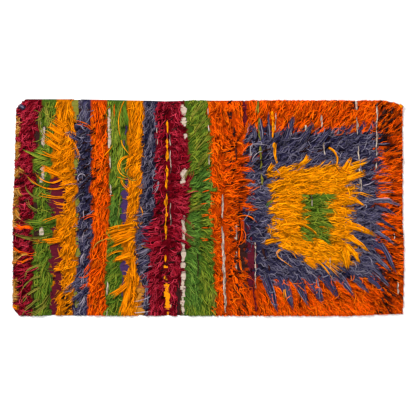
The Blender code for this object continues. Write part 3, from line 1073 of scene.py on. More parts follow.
# %% One strand of each knot
STRANDS = 6
STRAND_RANGES = {"length": (0.7, 1.2), "wave": (0.75, 1.3), "curl": (0.7, 1.4)}
FAN, FAN_SPREAD = 1.3, 6
WAVE_SPREAD, OVER_MORE = 0.12, 0.9
ROOT_ACROSS, ROOT_ALONG = 2, 1.5
ROOM_AT_FRONT, ROOM_AT_BACK = 1.4, 2.2


def one_strand_of(knots, fall, phase, number):
    """One strand of each of some knots: its own fall and its path. knots are their x, y and leans."""
    x, y, leans = knots
    size = len(x)
    own = dict(fall)
    fan = own["splay"] * ((number / (STRANDS - 1)) * 2 - 1) * FAN + chance.normal(0, FAN_SPREAD, size)
    for name, (least, most) in STRAND_RANGES.items():
        own[name] = own[name] * chance.uniform(least, most, size)
    own["over"] = own["over"] + chance.exponential(OVER_MORE, size)
    start_x = x + chance.uniform(-ROOT_ACROSS, ROOT_ACROSS, size)
    start_y = y + chance.uniform(-ROOT_ALONG, ROOT_ALONG, size)
    start_y = np.clip(start_y, ROOM_AT_FRONT, PLAN_WIDTH - ROOM_AT_BACK)
    return own, walk(start_x, start_y, leans, own, fan, phase + chance.normal(0, WAVE_SPREAD, size))


print(STRANDS, "strands in a knot")

# %% [markdown]
# A knot's own differences, such as its length and the way it has fallen, are drawn once for the knot and
# shared by its strands, because that is what makes a lock hang together. A strand goes round a hollow unless
# it has fallen in.

# %% Lay the knots' wool
STRAND_RADIUS, STRAND_SIZES, STRAND_LIFT = 0.0023, (0.75, 1.2), 0.5
BODY_RADIUS, BODY_SIZES, BODY_INSIDE = 0.0090, (0.7, 1.2), 1.0
KNOT_LENGTHS = (0.85, 1.3)
ANGLE_SPREAD, OVER_SPREAD, KNOT_SHADE_SPREAD = 9, 1.1, 0.05
KNOT_TINTS = (0, 0.2)
WAVE_CLOUDS, SHADE_CLOUDS, CLOUD_SHADE = (0.06, 0.06, 3), (0.11, 0.05, 9), 0.22
# Painted shade at the roots: how light a root is kept, from the rug's rim, where no wool shades it, to the
# full pile.
ROOT_LIGHT, RIM_TO_FULL_PILE = (0.95, 0.6), (0, 6)
FALLEN_SHARE, HOLLOW_WALL = 0.22, 4
CURLY = 36


def cloudy(x, y, scale_x, scale_y, seed):
    """A smooth random value at each place, which changes slowly from place to place."""
    return np.array([noise.noise(Vector((a * scale_x, b * scale_y, seed))) for a, b in zip(x, y)])


def lay_knots(band, knots):
    """Lays the wool of some far-apart knots of a band, and returns it."""
    size = len(knots)
    x, y = np.array([knot.x for knot in knots]), np.array([knot.y for knot in knots])
    fall = {name: np.array([float(getattr(knot.fall, name)) for knot in knots]) for name in Fall._fields[1:]}
    yarn = np.array([yarn_names.index(knot.fall.yarn) for knot in knots])
    thick = np.array([YARNS[knot.fall.yarn].thick for knot in knots])
    leans = np.full(size, float(band.leans))
    fall["angle"] = fall["angle"] + chance.normal(0, ANGLE_SPREAD, size)
    fall["length"] = fall["length"] * chance.uniform(*KNOT_LENGTHS, size)
    fall["over"] = fall["over"] + chance.normal(0, OVER_SPREAD, size)
    phase = cloudy(x, y, *WAVE_CLOUDS) * 2
    shade = CLOUD_SHADE * cloudy(x, y, *SHADE_CLOUDS) + chance.normal(0, KNOT_SHADE_SPREAD, size)
    root = np.interp(room_inside(x, y), RIM_TO_FULL_PILE, ROOT_LIGHT)
    looks = Looks(yarn, shade, chance.uniform(*KNOT_TINTS, size), root)
    body = walk(x, y, leans, fall, np.zeros(size), phase)
    room = np.minimum(room_inside(body.x, body.y), room_in_band(band, fall["over"], body)) - BODY_INSIDE
    felt(trimmed(body, room)[0], (thick * BODY_RADIUS * chance.uniform(*BODY_SIZES, size))[:, None], yarn)
    laid = []
    for number in range(STRANDS):
        own, path = one_strand_of((x, y, leans), fall, phase, number)
        room = np.minimum(room_at_openings(path), room_in_band(band, own["over"], path))
        fallen = (chance.uniform(0, 1, size) < FALLEN_SHARE - worn_at(x, y))[:, None]
        room = np.minimum(room, (hollows[cells(path.x, path.y)] + fallen) * HOLLOW_WALL)
        radius = thick * STRAND_RADIUS * chance.uniform(*STRAND_SIZES, size)
        kind = curl_rod if own["curl"].mean() > CURLY else strand_rod
        laid.append(lay_strands(trimmed(path, room)[0], radius, STRAND_LIFT, looks, kind))
    return laid


print("a strand is about", round(STRAND_RADIUS * 2000, 1), "mm thick")

# %% [markdown]
# Now every band is laid, from its far line back to its near one, so that each line of knots lies over the one
# before it. In the squares the outer ones are laid before those that lie over them. Knots of a line that are
# neighbours are laid in different rounds, so that one rests on the other.

# %% Lay all the bands
ROUNDS = 3
all_wool = []
knot_count = 0
for band in BANDS:
    lines = [tie_line(band, line) for line in reversed(range(MOST_LINES))]
    knot_count += sum(len(knots) for knots in lines)
    layers = [square.yarn for square in reversed(SQUARES)] if band.name == "squares" else [None]
    for layer in layers:
        for knots in lines:
            some = [knot for knot in knots if layer in (None, knot.fall.yarn)]
            for start in range(min(ROUNDS, len(some))):
                all_wool += lay_knots(band, some[start::ROUNDS])
print(knot_count, "knots, mean height of the wool", round(float(wool_top.mean()) * 1000, 1), "mm")

# %% [markdown]
# Where the pile is worn, the small gaps between its locks lie in deep shade. That shade is painted: a
# strand of brown yarn, dyed darker still, is laid in each gap. The gaps lie closest in the middle of a worn
# place.

# %% Lay the painted shade in the gaps of the worn places
GAPS = 0.3
GAP_SPREAD_X, GAP_SPREAD_Y = 0.5, 0.6
FROM_RIM, FROM_OPENING = 2, 1
GAP_LENGTHS, GAP_TURN, GAP_SHADES = (3, 8), 12, (-1, -0.4)
GAP_RADIUS, GAP_SIZES, GAP_LIFT = 0.0044, (0.5, 1.2), 0.4


def lay_gaps(worn):
    """Near-black strands laid in the gaps between the locks of a worn place, as painted shade."""
    size = round(worn.more * worn.reach_x * worn.reach_y * GAPS)
    x = chance.normal(worn.x, worn.reach_x * GAP_SPREAD_X, size)
    y = chance.normal(worn.y, worn.reach_y * GAP_SPREAD_Y, size)
    kept = (room_inside(x, y) > FROM_RIM) & (by_openings(x, y)[0] > FROM_OPENING)
    x, y, size = x[kept], y[kept], kept.sum()
    way = way_of_wool(x, y) + np.radians(chance.normal(0, GAP_TURN, size))
    gone = np.linspace(0, 1, STEPS)[None, :] * chance.uniform(*GAP_LENGTHS, size)[:, None]
    path = Path(x[:, None] + gone * np.cos(way)[:, None], y[:, None] + gone * np.sin(way)[:, None])
    brown = np.full(size, yarn_names.index("brown"))
    looks = Looks(brown, chance.uniform(*GAP_SHADES, size), np.zeros(size), np.ones(size))
    return lay_strands(path, GAP_RADIUS * chance.uniform(*GAP_SIZES, size), GAP_LIFT, looks, strand_rod)


for worn in WORN_PLACES:
    all_wool.append(lay_gaps(worn))
print("dark threads in", len(WORN_PLACES), "worn places")

# %% [markdown]
# In the same way a narrow opening shows no more than a thread or two of the ground, pushed up between the
# knots. Threads of the ground's colour are laid along it, in short lengths, but not where wool bridges it.

# %% Lay the threads that show in the narrow openings
THREAD_LENGTH, THREAD_EVERY = 7.0, 0.8
THREAD_WIDTH, THREADS_REACH, THREAD_ASIDE = 1.1, 0.8, 0.2
THREAD_RADIUS, WIDER_THAN_OPENING = 0.0027, 0.35
THREAD_SHADES, THREAD_ROOT = (-0.05, 0.1), 0.9
OPEN_ENOUGH = 0.25


def lay_threads(number):
    """The threads of the ground that show in one narrow opening."""
    opening = OPENINGS[number]
    starts = np.arange(opening.near, opening.far - 1, THREAD_LENGTH * THREAD_EVERY)
    threads = max(1, round(opening.width * 2 / THREAD_WIDTH))
    laid = []
    for thread in range(threads):
        y = starts[:, None] + np.linspace(0, THREAD_LENGTH, STEPS)[None, :] + chance.uniform(-1, 1)
        y = np.minimum(y, opening.far)
        middle, width = middle_and_width(number, y)
        place = (thread + 0.5) / threads * 2 - 1
        aside = chance.uniform(-THREAD_ASIDE, THREAD_ASIDE, (len(starts), 1))
        x = middle + place * width * THREADS_REACH + aside
        open_here = width.mean(axis=1) > OPEN_ENOUGH
        size = open_here.sum()
        yarn = np.full(size, yarn_names.index(opening.shows))
        shade = chance.normal(*THREAD_SHADES, size)
        looks = Looks(yarn, shade, np.zeros(size), np.full(size, THREAD_ROOT))
        radius = np.full(size, THREAD_RADIUS * min(1.0, opening.width + WIDER_THAN_OPENING))
        if size:
            path = Path(x[open_here], y[open_here])
            laid.append(lay_strands(path, radius, STRAND_LIFT, looks, strand_rod))
    return laid


for number, opening in enumerate(OPENINGS):
    if opening.width < WIDE_OPENING:
        all_wool += lay_threads(number)
print("threads laid in", sum(opening.width < WIDE_OPENING for opening in OPENINGS), "narrow openings")

# %% [markdown]
# Now come the locks that stray. Long wool that is walked on works loose and lies over its neighbours, in
# fingers, hooks and loops, and these give a worn tulu its look. Each is given by its root, by the heading
# in which it starts, by its length and by its bend, which is how far it has turned by its tip, to the left
# if it is positive. Then follow the number of its strands, the spread of its tip in squares, and its curl.
# A hook does all its bending in one place, and turns says how far along that is. Where similar locks lie
# side by side, a run gives the first and the last of them and makes those between.

# %% Where the stray locks lie
Stray = namedtuple("Stray", "yarn x y heading length bend strands spread curl turns", defaults=[0])


def run(count, yarn, first, last):
    """A run of similar locks side by side, which change evenly from the first to the last."""
    shares = [number / (count - 1) for number in range(count)]
    return [Stray(yarn, *(a + (b - a) * share for a, b in zip(first, last))) for share in shares]


STRAYS_AT_LEFT_END = [
    Stray("orange", 21.5, 88, 168, 22, 20, 4, 5, 30),
    Stray("orange", 0.5, 70, 318, 26, 55, 2, 2, 12),
    Stray("orange", 20.5, 59, 215, 22, -40, 3, 3, 14),
    Stray("ochre", 17.5, 63, 190, 17, 10, 3, 5, 25),
    Stray("crimson", 23.5, 49, 192, 23, 8, 6, 5, 10),
    *run(3, "ochre", (6, 149, 305, 9, 15, 4, 3, 14), (3, 108, 290, 11, 0, 4, 3, 14)),
    Stray("ochre", 1.5, 36, 271, 20, 0, 3, 1, 4),
    Stray("amber", 5.5, 9, 175, 6, 0, 5, 2, 20),
    Stray("navy", 12.5, 208, 150, 8, 20, 5, 3, 10),
    Stray("olive", 31, 210, 240, 52, 96, 2, 1, 6),
    Stray("olive", 33, 211, 280, 30, 20, 3, 3, 8),
    Stray("green", 37.5, 157, 168, 27, -18, 5, -2, 10),
    *run(3, "olive", (31.5, 131, 182, 24, -72, 2, 2, 6), (28.5, 106, 184, 20, -90, 2, 1, 6)),
    Stray("green", 41.5, 95, 186, 34, -14, 4, 5, 12),
    *run(2, "olive", (42.5, 84, 206, 50, -58, 2, 2, 5), (37.5, 77, 190, 30, -40, 2, 2, 8)),
    *run(4, "olive", (30.5, 51, 170, 28, 90, 2, 2, 6), (29.5, 19, 206, 26, 26, 2, 2, 8)),
    *run(2, "olive", (37.5, 23, 248, 28, -50, 3, 4, 8), (35.5, 13, 225, 22, -30, 3, 3, 8)),
]
GOLD_FINGERS = [
    *run(4, "amber", (55, 189, 150, 17, 0, 6, 3, 7), (51.5, 164, 141, 27, 12, 6, 3, 8)),
    Stray("amber", 51.5, 157, 165, 25, -6, 3, 2, 6),
    Stray("amber", 50.5, 140, 152, 24, 8, 6, 3, 6),
    Stray("amber", 51.5, 139, 222, 32, -105, 2, 2, 4),
    *run(2, "amber", (55.5, 131, 206, 48, -78, 2, 2, 4), (55.5, 120, 188, 30, -28, 2, 2, 4)),
    *run(2, "amber", (54.5, 112, 182, 17, -30, 2, 2, 6), (53.5, 102, 188, 24, 22, 2, 2, 6)),
    Stray("amber", 53.5, 81, 197, 38, -14, 3, 3, 6),
    *run(2, "amber", (53.5, 91, 215, 16, 20, 3, 4, 12), (51.5, 76, 188, 18, 0, 4, 4, 10)),
    *run(2, "amber", (57.5, 195, 298, 30, -20, 2, 2, 8), (59.5, 177, 305, 22, -30, 2, 1, 6)),
    *run(2, "amber", (49.5, 49, 190, 9, 10, 7, 4, 10), (53.5, 27, 215, 18, 20, 4, 4, 10)),
    Stray("amber", 91.5, 160, 58, 14, -18, 1, 1, 6),
    Stray("amber", 116, 211, 268, 50, 28, 3, 1.5, 4),
    Stray("amber", 112.5, 217, 242, 38, 45, 1, 1, 4),
    Stray("amber", 108.5, 179, 278, 22, 48, 1, 1, 4),
    Stray("amber", 118.5, 160, 172, 36, 196, 2, 1, 2),
    Stray("amber", 103.5, 140, 350, 14, -10, 1, 1, 6),
    Stray("amber", 108.5, 138, 288, 17, 46, 2, 1, 6),
    *run(4, "amber", (125.5, 93, 190, 34, 4, 5, 4, 8), (125.5, 83, 206, 30, -8, 5, 3, 8)),
    Stray("amber", 112.5, 65, 165, 22, 62, 2, 1.5, 4),
    Stray("amber", 121.5, 62, 190, 22, 12, 8, -2, 8),
    Stray("amber", 118.5, 36, 226, 25, -16, 7, 3, 6),
    *run(3, "amber", (121.5, 60, 269, 30, 0, 7, 4, 5), (116, 28, 255, 30, 0, 6, 4, 5)),
]
STRAYS_IN_STRIPES = [
    *run(2, "navy", (75.5, 41, 212, 30, 6, 6, 5, 10), (75.5, 29, 222, 24, 8, 6, 6, 10)),
    Stray("navy", 69.5, 175, 152, 18, -6, 5, 3, 8),
    *run(2, "navy", (69.5, 131, 160, 17, 40, 1, 1, 4), (73.5, 125, 195, 20, 36, 3, 3, 10)),
    Stray("pale", 73.5, 139, 100, 24, 300, 1, 1, 6),
    *run(5, "pale", (72, 107, 245, 13, 60, 1, 2, 16), (73, 21, 240, 13, 10, 2, 3, 14)),
    Stray("orange", 80.5, 186, 128, 22, 58, 3, 1.5, 4),
    Stray("orange", 85.5, 100, 162, 17, 60, 3, 2, 6),
    Stray("orange", 83.5, 60, 228, 22, 22, 3, 3, 8),
    Stray("orange", 79.5, 49, 262, 20, -92, 2, 2, 4),
    Stray("orange", 80.5, 33, 193, 14, 6, 3, 3, 8),
    *run(2, "olive", (117.5, 149, 215, 24, 200, 2, 2, 4), (115.5, 153, 170, 20, 200, 1, 2, 4)),
    Stray("olive", 108.5, 122, 262, 27, 0, 1, 1, 4),
    Stray("orange", 102.5, 213, 265, 18, 10, 1, 1, 6),
    Stray("green", 111.5, 213, 280, 26, 0, 5, 4, 6),
    Stray("olive", 99.5, 207, 268, 26, 20, 2, 2, 6),
    Stray("olive", 100.5, 77, 163, 30, 92, 1, 1, 4),
    *run(5, "slate", (139.5, 103, 189, 20, 6, 6, 6, 12), (138.5, 57, 209, 16, 0, 6, 6, 14)),
    *run(3, "pale", (138.5, 21, 214, 17, -34, 1, 1, 4), (138.5, 6, 194, 17, -18, 1, 1, 4)),
    Stray("slate", 135.5, 33, 262, 22, 10, 3, 2, 10),
    Stray("pale", 145.5, 136, 285, 13, -70, 2, 1, 4),
    *run(4, "crimson", (149.5, 88, 164, 23, 36, 5, 4, 18), (149.5, 73, 202, 20, -40, 4, 3, 14)),
    Stray("crimson", 147.5, 47, 182, 22, 46, 2, 3, 10),
    Stray("crimson", 144.5, 36, 236, 28, -16, 2, 2, 4),
    Stray("crimson", 139.5, 30, 178, 16, 6, 2, 1, 6),
    Stray("crimson", 163.5, 100, -8, 28, -52, 2, 1.5, 4),
    Stray("crimson", 166.5, 89, -48, 24, 22, 2, 1.5, 4),
    Stray("crimson", 161.5, 78, -4, 19, -40, 4, 3, 14),
    Stray("crimson", 167.5, 132, 4, 24, 92, 2, 1.5, 4),
    Stray("crimson", 171.5, 120, 38, 17, -44, 2, 1, 4),
    Stray("olive", 177.5, 149, 250, 14, -20, 2, 2, 8),
    Stray("olive", 175.5, 104, 38, 22, -30, 3, 2, 8),
    Stray("green", 195.5, 127, 4, 13, -4, 4, 3, 10),
    *run(6, "orange", (198, 139, 202, 10, 3, 1, 1, 6), (196, 77, 172, 8, 3, 2, 2, 8)),
    Stray("olive", 199.5, 27, 285, 24, -12, 3, 3, 6),
    *run(4, "olive", (184, 149, 54, 24, -6, 2, 5, 8), (178, 197, 60, 26, -6, 3, 8, 8)),
]
STRAYS_ROUND_SQUARES = [
    Stray("orange", 223.5, 98, 38, 24, -100, 3, 1.5, 2),
    Stray("orange", 219.5, 87, 34, 34, -235, 2, 1.5, 2),
    Stray("orange", 227.5, 96, 285, 30, -50, 2, 1, 4),
    Stray("orange", 226.5, 69, 268, 34, 20, 2, 1, 14),
    Stray("orange", 225.5, 41, 14, 16, -54, 3, 1.5, 4),
    *run(5, "orange", (223.5, 159, 0, 16, 14, 4, 3, 12), (226.5, 112, 9, 15, -36, 4, 3, 14)),
    *run(3, "navy", (243.5, 177, 104, 16, 0, 4, 4, 10), (257, 175, 96, 28, -6, 7, -4, 6)),
    *run(3, "navy", (271.5, 175, 68, 27, 4, 12, -6, 8), (304.5, 172, 48, 20, 0, 10, -5, 8)),
    *run(4, "navy", (323.5, 183, 46, 14, 0, 3, 2, 8), (354.5, 183, 60, 15, 0, 4, 4, 10)),
    *run(4, "navy", (251.5, 43, -66, 40, -10, 15, -9, 8), (295, 42, -54, 32, -14, 18, -10, 8)),
    *run(4, "navy", (309, 43, -50, 30, -12, 16, -9, 8), (353.5, 41, -38, 24, -8, 8, -4, 10)),
    Stray("navy", 361.5, 116, 6, 27, -36, 7, -3, 14),
    *run(6, "navy", (361.5, 111, -12, 23, -24, 6, -3, 11), (358.5, 50, -42, 27, -12, 9, -5, 10)),
    Stray("navy", 366.5, 76, -58, 36, -12, 7, -3, 8),
    *run(4, "navy", (363.5, 150, 16, 15, -50, 2, 2, 8), (364.5, 124, 14, 16, -20, 2, 2, 7)),
    Stray("navy", 363.5, 172, 2, 15, -6, 4, 3, 10),
    *run(3, "navy", (251.5, 136, 24, 16, 0, 2, 1.5, 4), (254, 91, -20, 12, 10, 2, 1, 5)),
    Stray("pale", 239.5, 155, 86, 16, -88, 1, 1, 3),
    Stray("pale", 257.5, 171, 172, 36, 98, 1, 1, 4, 0.5),
    Stray("pale", 292.5, 47, -30, 38, -54, 1, 1, 6, 0.35),
    Stray("pale", 361.5, 117, 20, 22, -46, 1, 1, 10),
    *run(2, "pale", (349.5, 131, 15, 16, 10, 1, 4, 10), (353.5, 115, 22, 16, -20, 1, 3, 8)),
]
STRAYS_IN_SQUARES = [
    Stray("gold", 314.5, 169, -14, 26, -112, 3, 1.5, 2),
    *run(3, "gold", (299.5, 60, -34, 30, -26, 2, 1.5, 4), (311.5, 57, -32, 24, -4, 2, 1.5, 4)),
    Stray("gold", 330.5, 70, -80, 22, 4, 16, -6, 6),
    Stray("gold", 291.5, 58, -28, 16, -10, 8, 4, 5),
    *run(3, "gold", (331.5, 93, -14, 34, -14, 10, -5, 8), (332.5, 73, -43, 23, -20, 7, -4, 8)),
    Stray("gold", 263.5, 77, 192, 14, 6, 6, 3, 6),
    Stray("gold", 274.5, 69, 196, 34, 128, 2, 1, 3, 0.35),
    Stray("gold", 334.5, 124, 4, 26, -30, 2, 1.5, 6),
    *run(2, "gold", (330.5, 137, 16, 24, 8, 6, 3, 6), (330.5, 148, 16, 26, 4, 8, 2, 8)),
    Stray("gold", 265.5, 151, 118, 24, -44, 2, 1.5, 6),
    Stray("gold", 330.5, 145, 62, 16, 0, 10, -4, 6),
    Stray("gold", 287.5, 151, 44, 14, 0, 6, 5, 8),
    Stray("gold", 277.5, 93, 6, 32, -64, 3, 2, 3),
    Stray("gold", 255.5, 145, 70, 10, -30, 5, 4, 8),
    Stray("gold", 329.5, 121, -10, 24, -30, 5, -2, 8),
    Stray("gold", 271.5, 31, -86, 16, 0, 2, 2, 6),
    Stray("gold", 389.5, 209, 130, 5, 0, 4, 3, 20),
    Stray("green", 261.5, 116, 190, 11, 60, 2, 1.5, 3),
    *run(4, "green", (304, 82, -28, 19, -8, 5, 2, 4), (307, 120, 8, 19, -14, 5, 4, 5)),
    Stray("olive", 245.5, 213, 262, 12, 0, 2, 2, 6),
]
STRAYS = STRAYS_AT_LEFT_END + GOLD_FINGERS + STRAYS_IN_STRIPES + STRAYS_ROUND_SQUARES + STRAYS_IN_SQUARES
print(len(STRAYS), "stray locks")

# %% [markdown]
# A stray lock is laid as a knot's is: a felted body first, if it is a thick one, and its strands over
# that. Its path is worked out in one go, because nothing but the rug's edge stops it.

# %% Lay the stray locks
STRAY_RADIUS, STRAY_SIZES = 0.0030, (0.8, 1.1)
STRAND_GAP = 0.28
TIP_SPREAD = 1.6
HOOK_SHARE = 0.34
STRAY_WAVE, CURLS_FROM_SHARE = 13, 0.25
THICK_LOCK, THICKEST_LOCK, MORE_STRANDS = 3, 9, 1.5
STRAY_LIFT = 1.0
STRAY_BODY, BODY_TAPER = 0.0011, (1.1, 0.25)
TAIL_DARKER, LOCK_LIGHTER, STRAY_SHADE_SPREAD = -0.14, 0.04, 0.06
STRAY_TINTS, STRAY_ROOT = (-0.3, 0.1), 0.8
HOOK_LENGTHS, STRAY_LENGTHS, BODY_LENGTH = (0.95, 1.03), (0.8, 1.06), 0.9
ASIDE_SPREAD = 0.12
BENT = 20


def stray_path(stray, aside, longer):
    """The path of one strand of a stray lock. aside is where it lies across the lock, from -1 to 1."""
    share = np.linspace(0, 1, STEPS)
    stride = stray.length * longer / (STEPS - 1)
    fan = math.degrees(math.atan2(stray.spread / 2, stray.length)) * aside * TIP_SPREAD
    bent = smooth((share - stray.turns) / HOOK_SHARE + 0.5) if stray.turns else share
    turned = stray.heading + stray.bend * bent + fan * share
    waves = np.sin(2 * np.pi * (share * stray.length / STRAY_WAVE + stray.x))
    turned += stray.curl * waves * smooth(share / CURLS_FROM_SHARE)
    from_middle = aside * stray.strands * STRAND_GAP
    start_x = stray.x - math.sin(math.radians(stray.heading)) * from_middle
    start_y = stray.y + math.cos(math.radians(stray.heading)) * from_middle
    x = start_x + np.cumsum(np.cos(np.radians(turned))) * stride
    y = start_y + np.cumsum(np.sin(np.radians(turned))) * stride
    return Path(x[None, :], y[None, :])


def felt_stray(stray, yarn):
    """Raises the map under the felted body of a stray lock, which tapers towards its tip."""
    body = stray_path(stray, 0, BODY_LENGTH)
    radius = STRAY_BODY * stray.strands * np.linspace(*BODY_TAPER, STEPS)[None, :]
    felt(trimmed(body, room_inside(body.x, body.y) - BODY_INSIDE)[0], radius, yarn)


def lay_stray(stray):
    """Lays a stray lock: its felted body, if it is a thick one, and its strands over it."""
    yarn = np.array([yarn_names.index(stray.yarn)])
    lighter = TAIL_DARKER if stray.strands > THICKEST_LOCK else LOCK_LIGHTER
    shade, tint = chance.normal(lighter, STRAY_SHADE_SPREAD, 1), chance.uniform(*STRAY_TINTS, 1)
    looks = Looks(yarn, shade, tint, np.array([STRAY_ROOT]))
    strands = round(stray.strands)
    if strands > THICK_LOCK:
        strands = round(stray.strands * MORE_STRANDS)
        felt_stray(stray, yarn)
    laid = []
    for strand in range(strands):
        aside = 0 if strands == 1 else strand / (strands - 1) * 2 - 1
        longer = chance.uniform(*(HOOK_LENGTHS if stray.turns else STRAY_LENGTHS))
        path = stray_path(stray, aside + chance.normal(0, ASIDE_SPREAD), longer)
        radius = np.array([STRAY_RADIUS * YARNS[stray.yarn].thick * chance.uniform(*STRAY_SIZES)])
        kind = curl_rod if abs(stray.bend) > BENT else strand_rod
        laid.append(lay_strands(path, radius, STRAY_LIFT, looks, kind))
    return laid


for stray in STRAYS:
    all_wool += lay_stray(stray)
print("strands so far:", sum(len(wool.yarn) for wool in all_wool))

# %% [markdown]
# Between the locks that stray far, single strands have worked loose everywhere. They are scattered by
# chance over every band, each turned more or less away from the way its neighbours lie, and dyed as the
# wool that it lies on.

# %% Loose strands
SQUARES_PER_LOOSE_STRAND = 64
LOOSE_RADIUS = 0.0022
LOOSE_LENGTHS, LOOSE_BEND, LOOSE_TURN, LOOSE_CURL = (7, 14), 80, 35, 25
LOOSE_SHADES, LOOSE_TINTS, LOOSE_ROOT, LOOSE_LIFT = (0.05, 0.2), (0, 0.6), 0.8, 0.9
FROM_LINES, FROM_EDGE = (0.05, 0.8), 3


def yarn_at(x, y, otherwise):
    """The yarn of the felted body that lies on top at a place, or another where none does."""
    yarn = yarn_on_top[cells(np.array([x]), np.array([y]))]
    return np.where(yarn < 0, yarn_names.index(otherwise), yarn)


def lay_loose_strands(band):
    """Loose strands, scattered over a band."""
    middle_near, middle_far = band.near[2], band.far[2]
    laid = []
    for _ in range(round(abs(middle_far - middle_near) * PLAN_WIDTH / SQUARES_PER_LOOSE_STRAND)):
        y = chance.uniform(FROM_EDGE, PLAN_WIDTH - FROM_EDGE)
        near, far = line_at(band.near, y), line_at(band.far, y)
        x = near + (far - near) * chance.uniform(*FROM_LINES)
        bend, length = chance.normal(0, LOOSE_BEND), chance.uniform(*LOOSE_LENGTHS)
        turned = chance.normal(0, LOOSE_TURN)
        if room_inside(x, y) < FROM_RIM or by_openings(x, y)[0] < FROM_OPENING:
            continue
        fall = fall_at(band, x, y)
        loose = Stray("", x, y, fall.angle + turned, length, bend, 1, 1, LOOSE_CURL)
        path = stray_path(loose, 0, 1)
        path = trimmed(path, by_openings(path.x, path.y)[0])[0]
        own = yarn_at(path.x[0, STEPS // 2], path.y[0, STEPS // 2], fall.yarn)
        shade, tint = chance.normal(*LOOSE_SHADES, 1), chance.uniform(*LOOSE_TINTS, 1)
        looks = Looks(own, shade, tint, np.array([LOOSE_ROOT]))
        laid.append(lay_strands(path, np.array([LOOSE_RADIUS]), LOOSE_LIFT, looks, strand_rod))
    return laid


for band in BANDS:
    all_wool += lay_loose_strands(band)
print("strands so far:", sum(len(wool.yarn) for wool in all_wool))

# %% [markdown]
# The finest are single hairs from the wool beside a wide opening, fallen over the bare ground in it.

# %% Hairs over the bare ground
HAIRS = 0.11
HAIR_RADIUS = 0.0014
HAIR_LENGTHS, HAIR_BEND, HAIR_SLANT, HAIR_CURL = (4, 10), 60, 3, 20
HAIR_SHADES, HAIR_TINTS, HAIR_ROOT = (0, 0.2), (0, 0.5), 0.9
BESIDE_OPENING = 2.5


def lay_hairs(number):
    """Single hairs from the wool beside a wide opening, fallen over the bare ground in it."""
    opening = OPENINGS[number]
    laid = []
    for _ in range(round((opening.far - opening.near) * opening.width * HAIRS)):
        y = chance.uniform(opening.near, opening.far)
        middle, width = middle_and_width(number, y)
        beside = middle + chance.choice((-1, 1)) * (width + BESIDE_OPENING)
        own = yarn_at(beside, y, "brown")
        heading = math.degrees(math.atan2(chance.normal(0, HAIR_SLANT), middle - beside))
        length, bend = chance.uniform(*HAIR_LENGTHS), chance.normal(0, HAIR_BEND)
        hair = Stray("", beside, y, heading, length, bend, 1, 1, HAIR_CURL)
        shade, tint = chance.normal(*HAIR_SHADES, 1), chance.uniform(*HAIR_TINTS, 1)
        looks = Looks(own, shade, tint, np.array([HAIR_ROOT]))
        path = stray_path(hair, 0, 1)
        laid.append(lay_strands(path, np.array([HAIR_RADIUS]), STRAY_LIFT, looks, strand_rod))
    return laid


for number, opening in enumerate(OPENINGS):
    if opening.width >= WIDE_OPENING:
        all_wool += lay_hairs(number)
print("strands in all:", sum(len(wool.yarn) for wool in all_wool))
print("highest wool:", round(float(wool_top.max()) * 1000, 1), "mm")

# %% [markdown]
# ## The felt under the strands
#
# Long wool that is walked on felts together underneath. One could leave the felt out, but then bare ground
# would show between the strands. It is made from the height map: a grid over the plan whose points lie at
# about two thirds of the wool's height and take the colour of the yarn that lies there, darkened as painted
# shade under the strands and darkest, almost black, in the hollows. A wide opening leaves its squares of the
# grid out, so that the woven ground shows.

# %% The felt's form
FELT_STEP = 1.8
FELT_INSET = 0.7
ONTO_EDGE = 0.55
LEFT_OUT_BELOW = -0.1


def felt_grid():
    """A grid over the plan, drawn in to the rug's edges."""
    grid = bmesh.new()
    columns, lines = int(PLAN_LENGTH / FELT_STEP), int(PLAN_WIDTH / FELT_STEP)
    bmesh.ops.create_grid(grid, x_segments=columns, y_segments=lines, size=0.5)
    for vertex in grid.verts:
        x, y = (vertex.co.x + 0.5) * PLAN_LENGTH, (vertex.co.y + 0.5) * PLAN_WIDTH
        vertex.co = (*draw_in(x, y, FELT_INSET), 0)
    return grid


def on_plan(points):
    """Where points lie on the plan, as an array of x and one of y."""
    x, y, _ = np.array([point[:] for point in points]).T
    return x, y


def open_up(grid):
    """Moves the points of the grid that are near a wide opening onto its edge, and leaves its squares out."""
    room, nearest = by_openings(*on_plan([vertex.co for vertex in grid.verts]))
    for vertex, gap, number in zip(grid.verts, room, nearest):
        if abs(gap) < FELT_STEP * ONTO_EDGE and OPENINGS[number].width >= WIDE_OPENING:
            middle, _ = middle_and_width(number, vertex.co.y)
            vertex.co.x += -gap if vertex.co.x > middle else gap
    room, nearest = by_openings(*on_plan([face.calc_center_median() for face in grid.faces]))
    is_open = (room < LEFT_OUT_BELOW) & (opening_widths[nearest] >= WIDE_OPENING)
    left_out = [face for face, out in zip(list(grid.faces), is_open) if out]
    bmesh.ops.delete(grid, geom=left_out, context="FACES")


print("the felt's grid has squares of", round(FELT_STEP * SQUARE * 1000, 1), "mm")

# %% [markdown]
# The grid's points then get their height and their dye with its painted shade, and the whole grid is
# extruded down into the ground, so that the felt is a closed body. Each point also gets a fibre vector,
# from which the material works out streaks.

# %% Make the felt
FELT_LEVEL = 0.65
FELT_BELOW = 0.0015
LEAST_FELT = 0.0008
FELT_FOOT = 0.4
# Painted shade of the felt: how light its colour is under the strands and in the hollows.
FELT_DARK = 0.35
EVEN_DARK = 0.3
HOLLOW_DARK = 0.05
HOLLOW_LIGHT = 0.4
HOLLOW_EDGE = 0.12
FELT_FIBRE = (0.7, 0.25)


def spread_yarns():
    """The yarn on top of each cell, spread from where wool was laid to the cells that it missed."""
    yarns = yarn_on_top.copy()
    while (yarns < 0).any():
        for step, axis in ((1, 0), (-1, 0), (1, 1), (-1, 1)):
            yarns = np.where(yarns < 0, np.roll(yarns, step, axis), yarns)
    return yarns


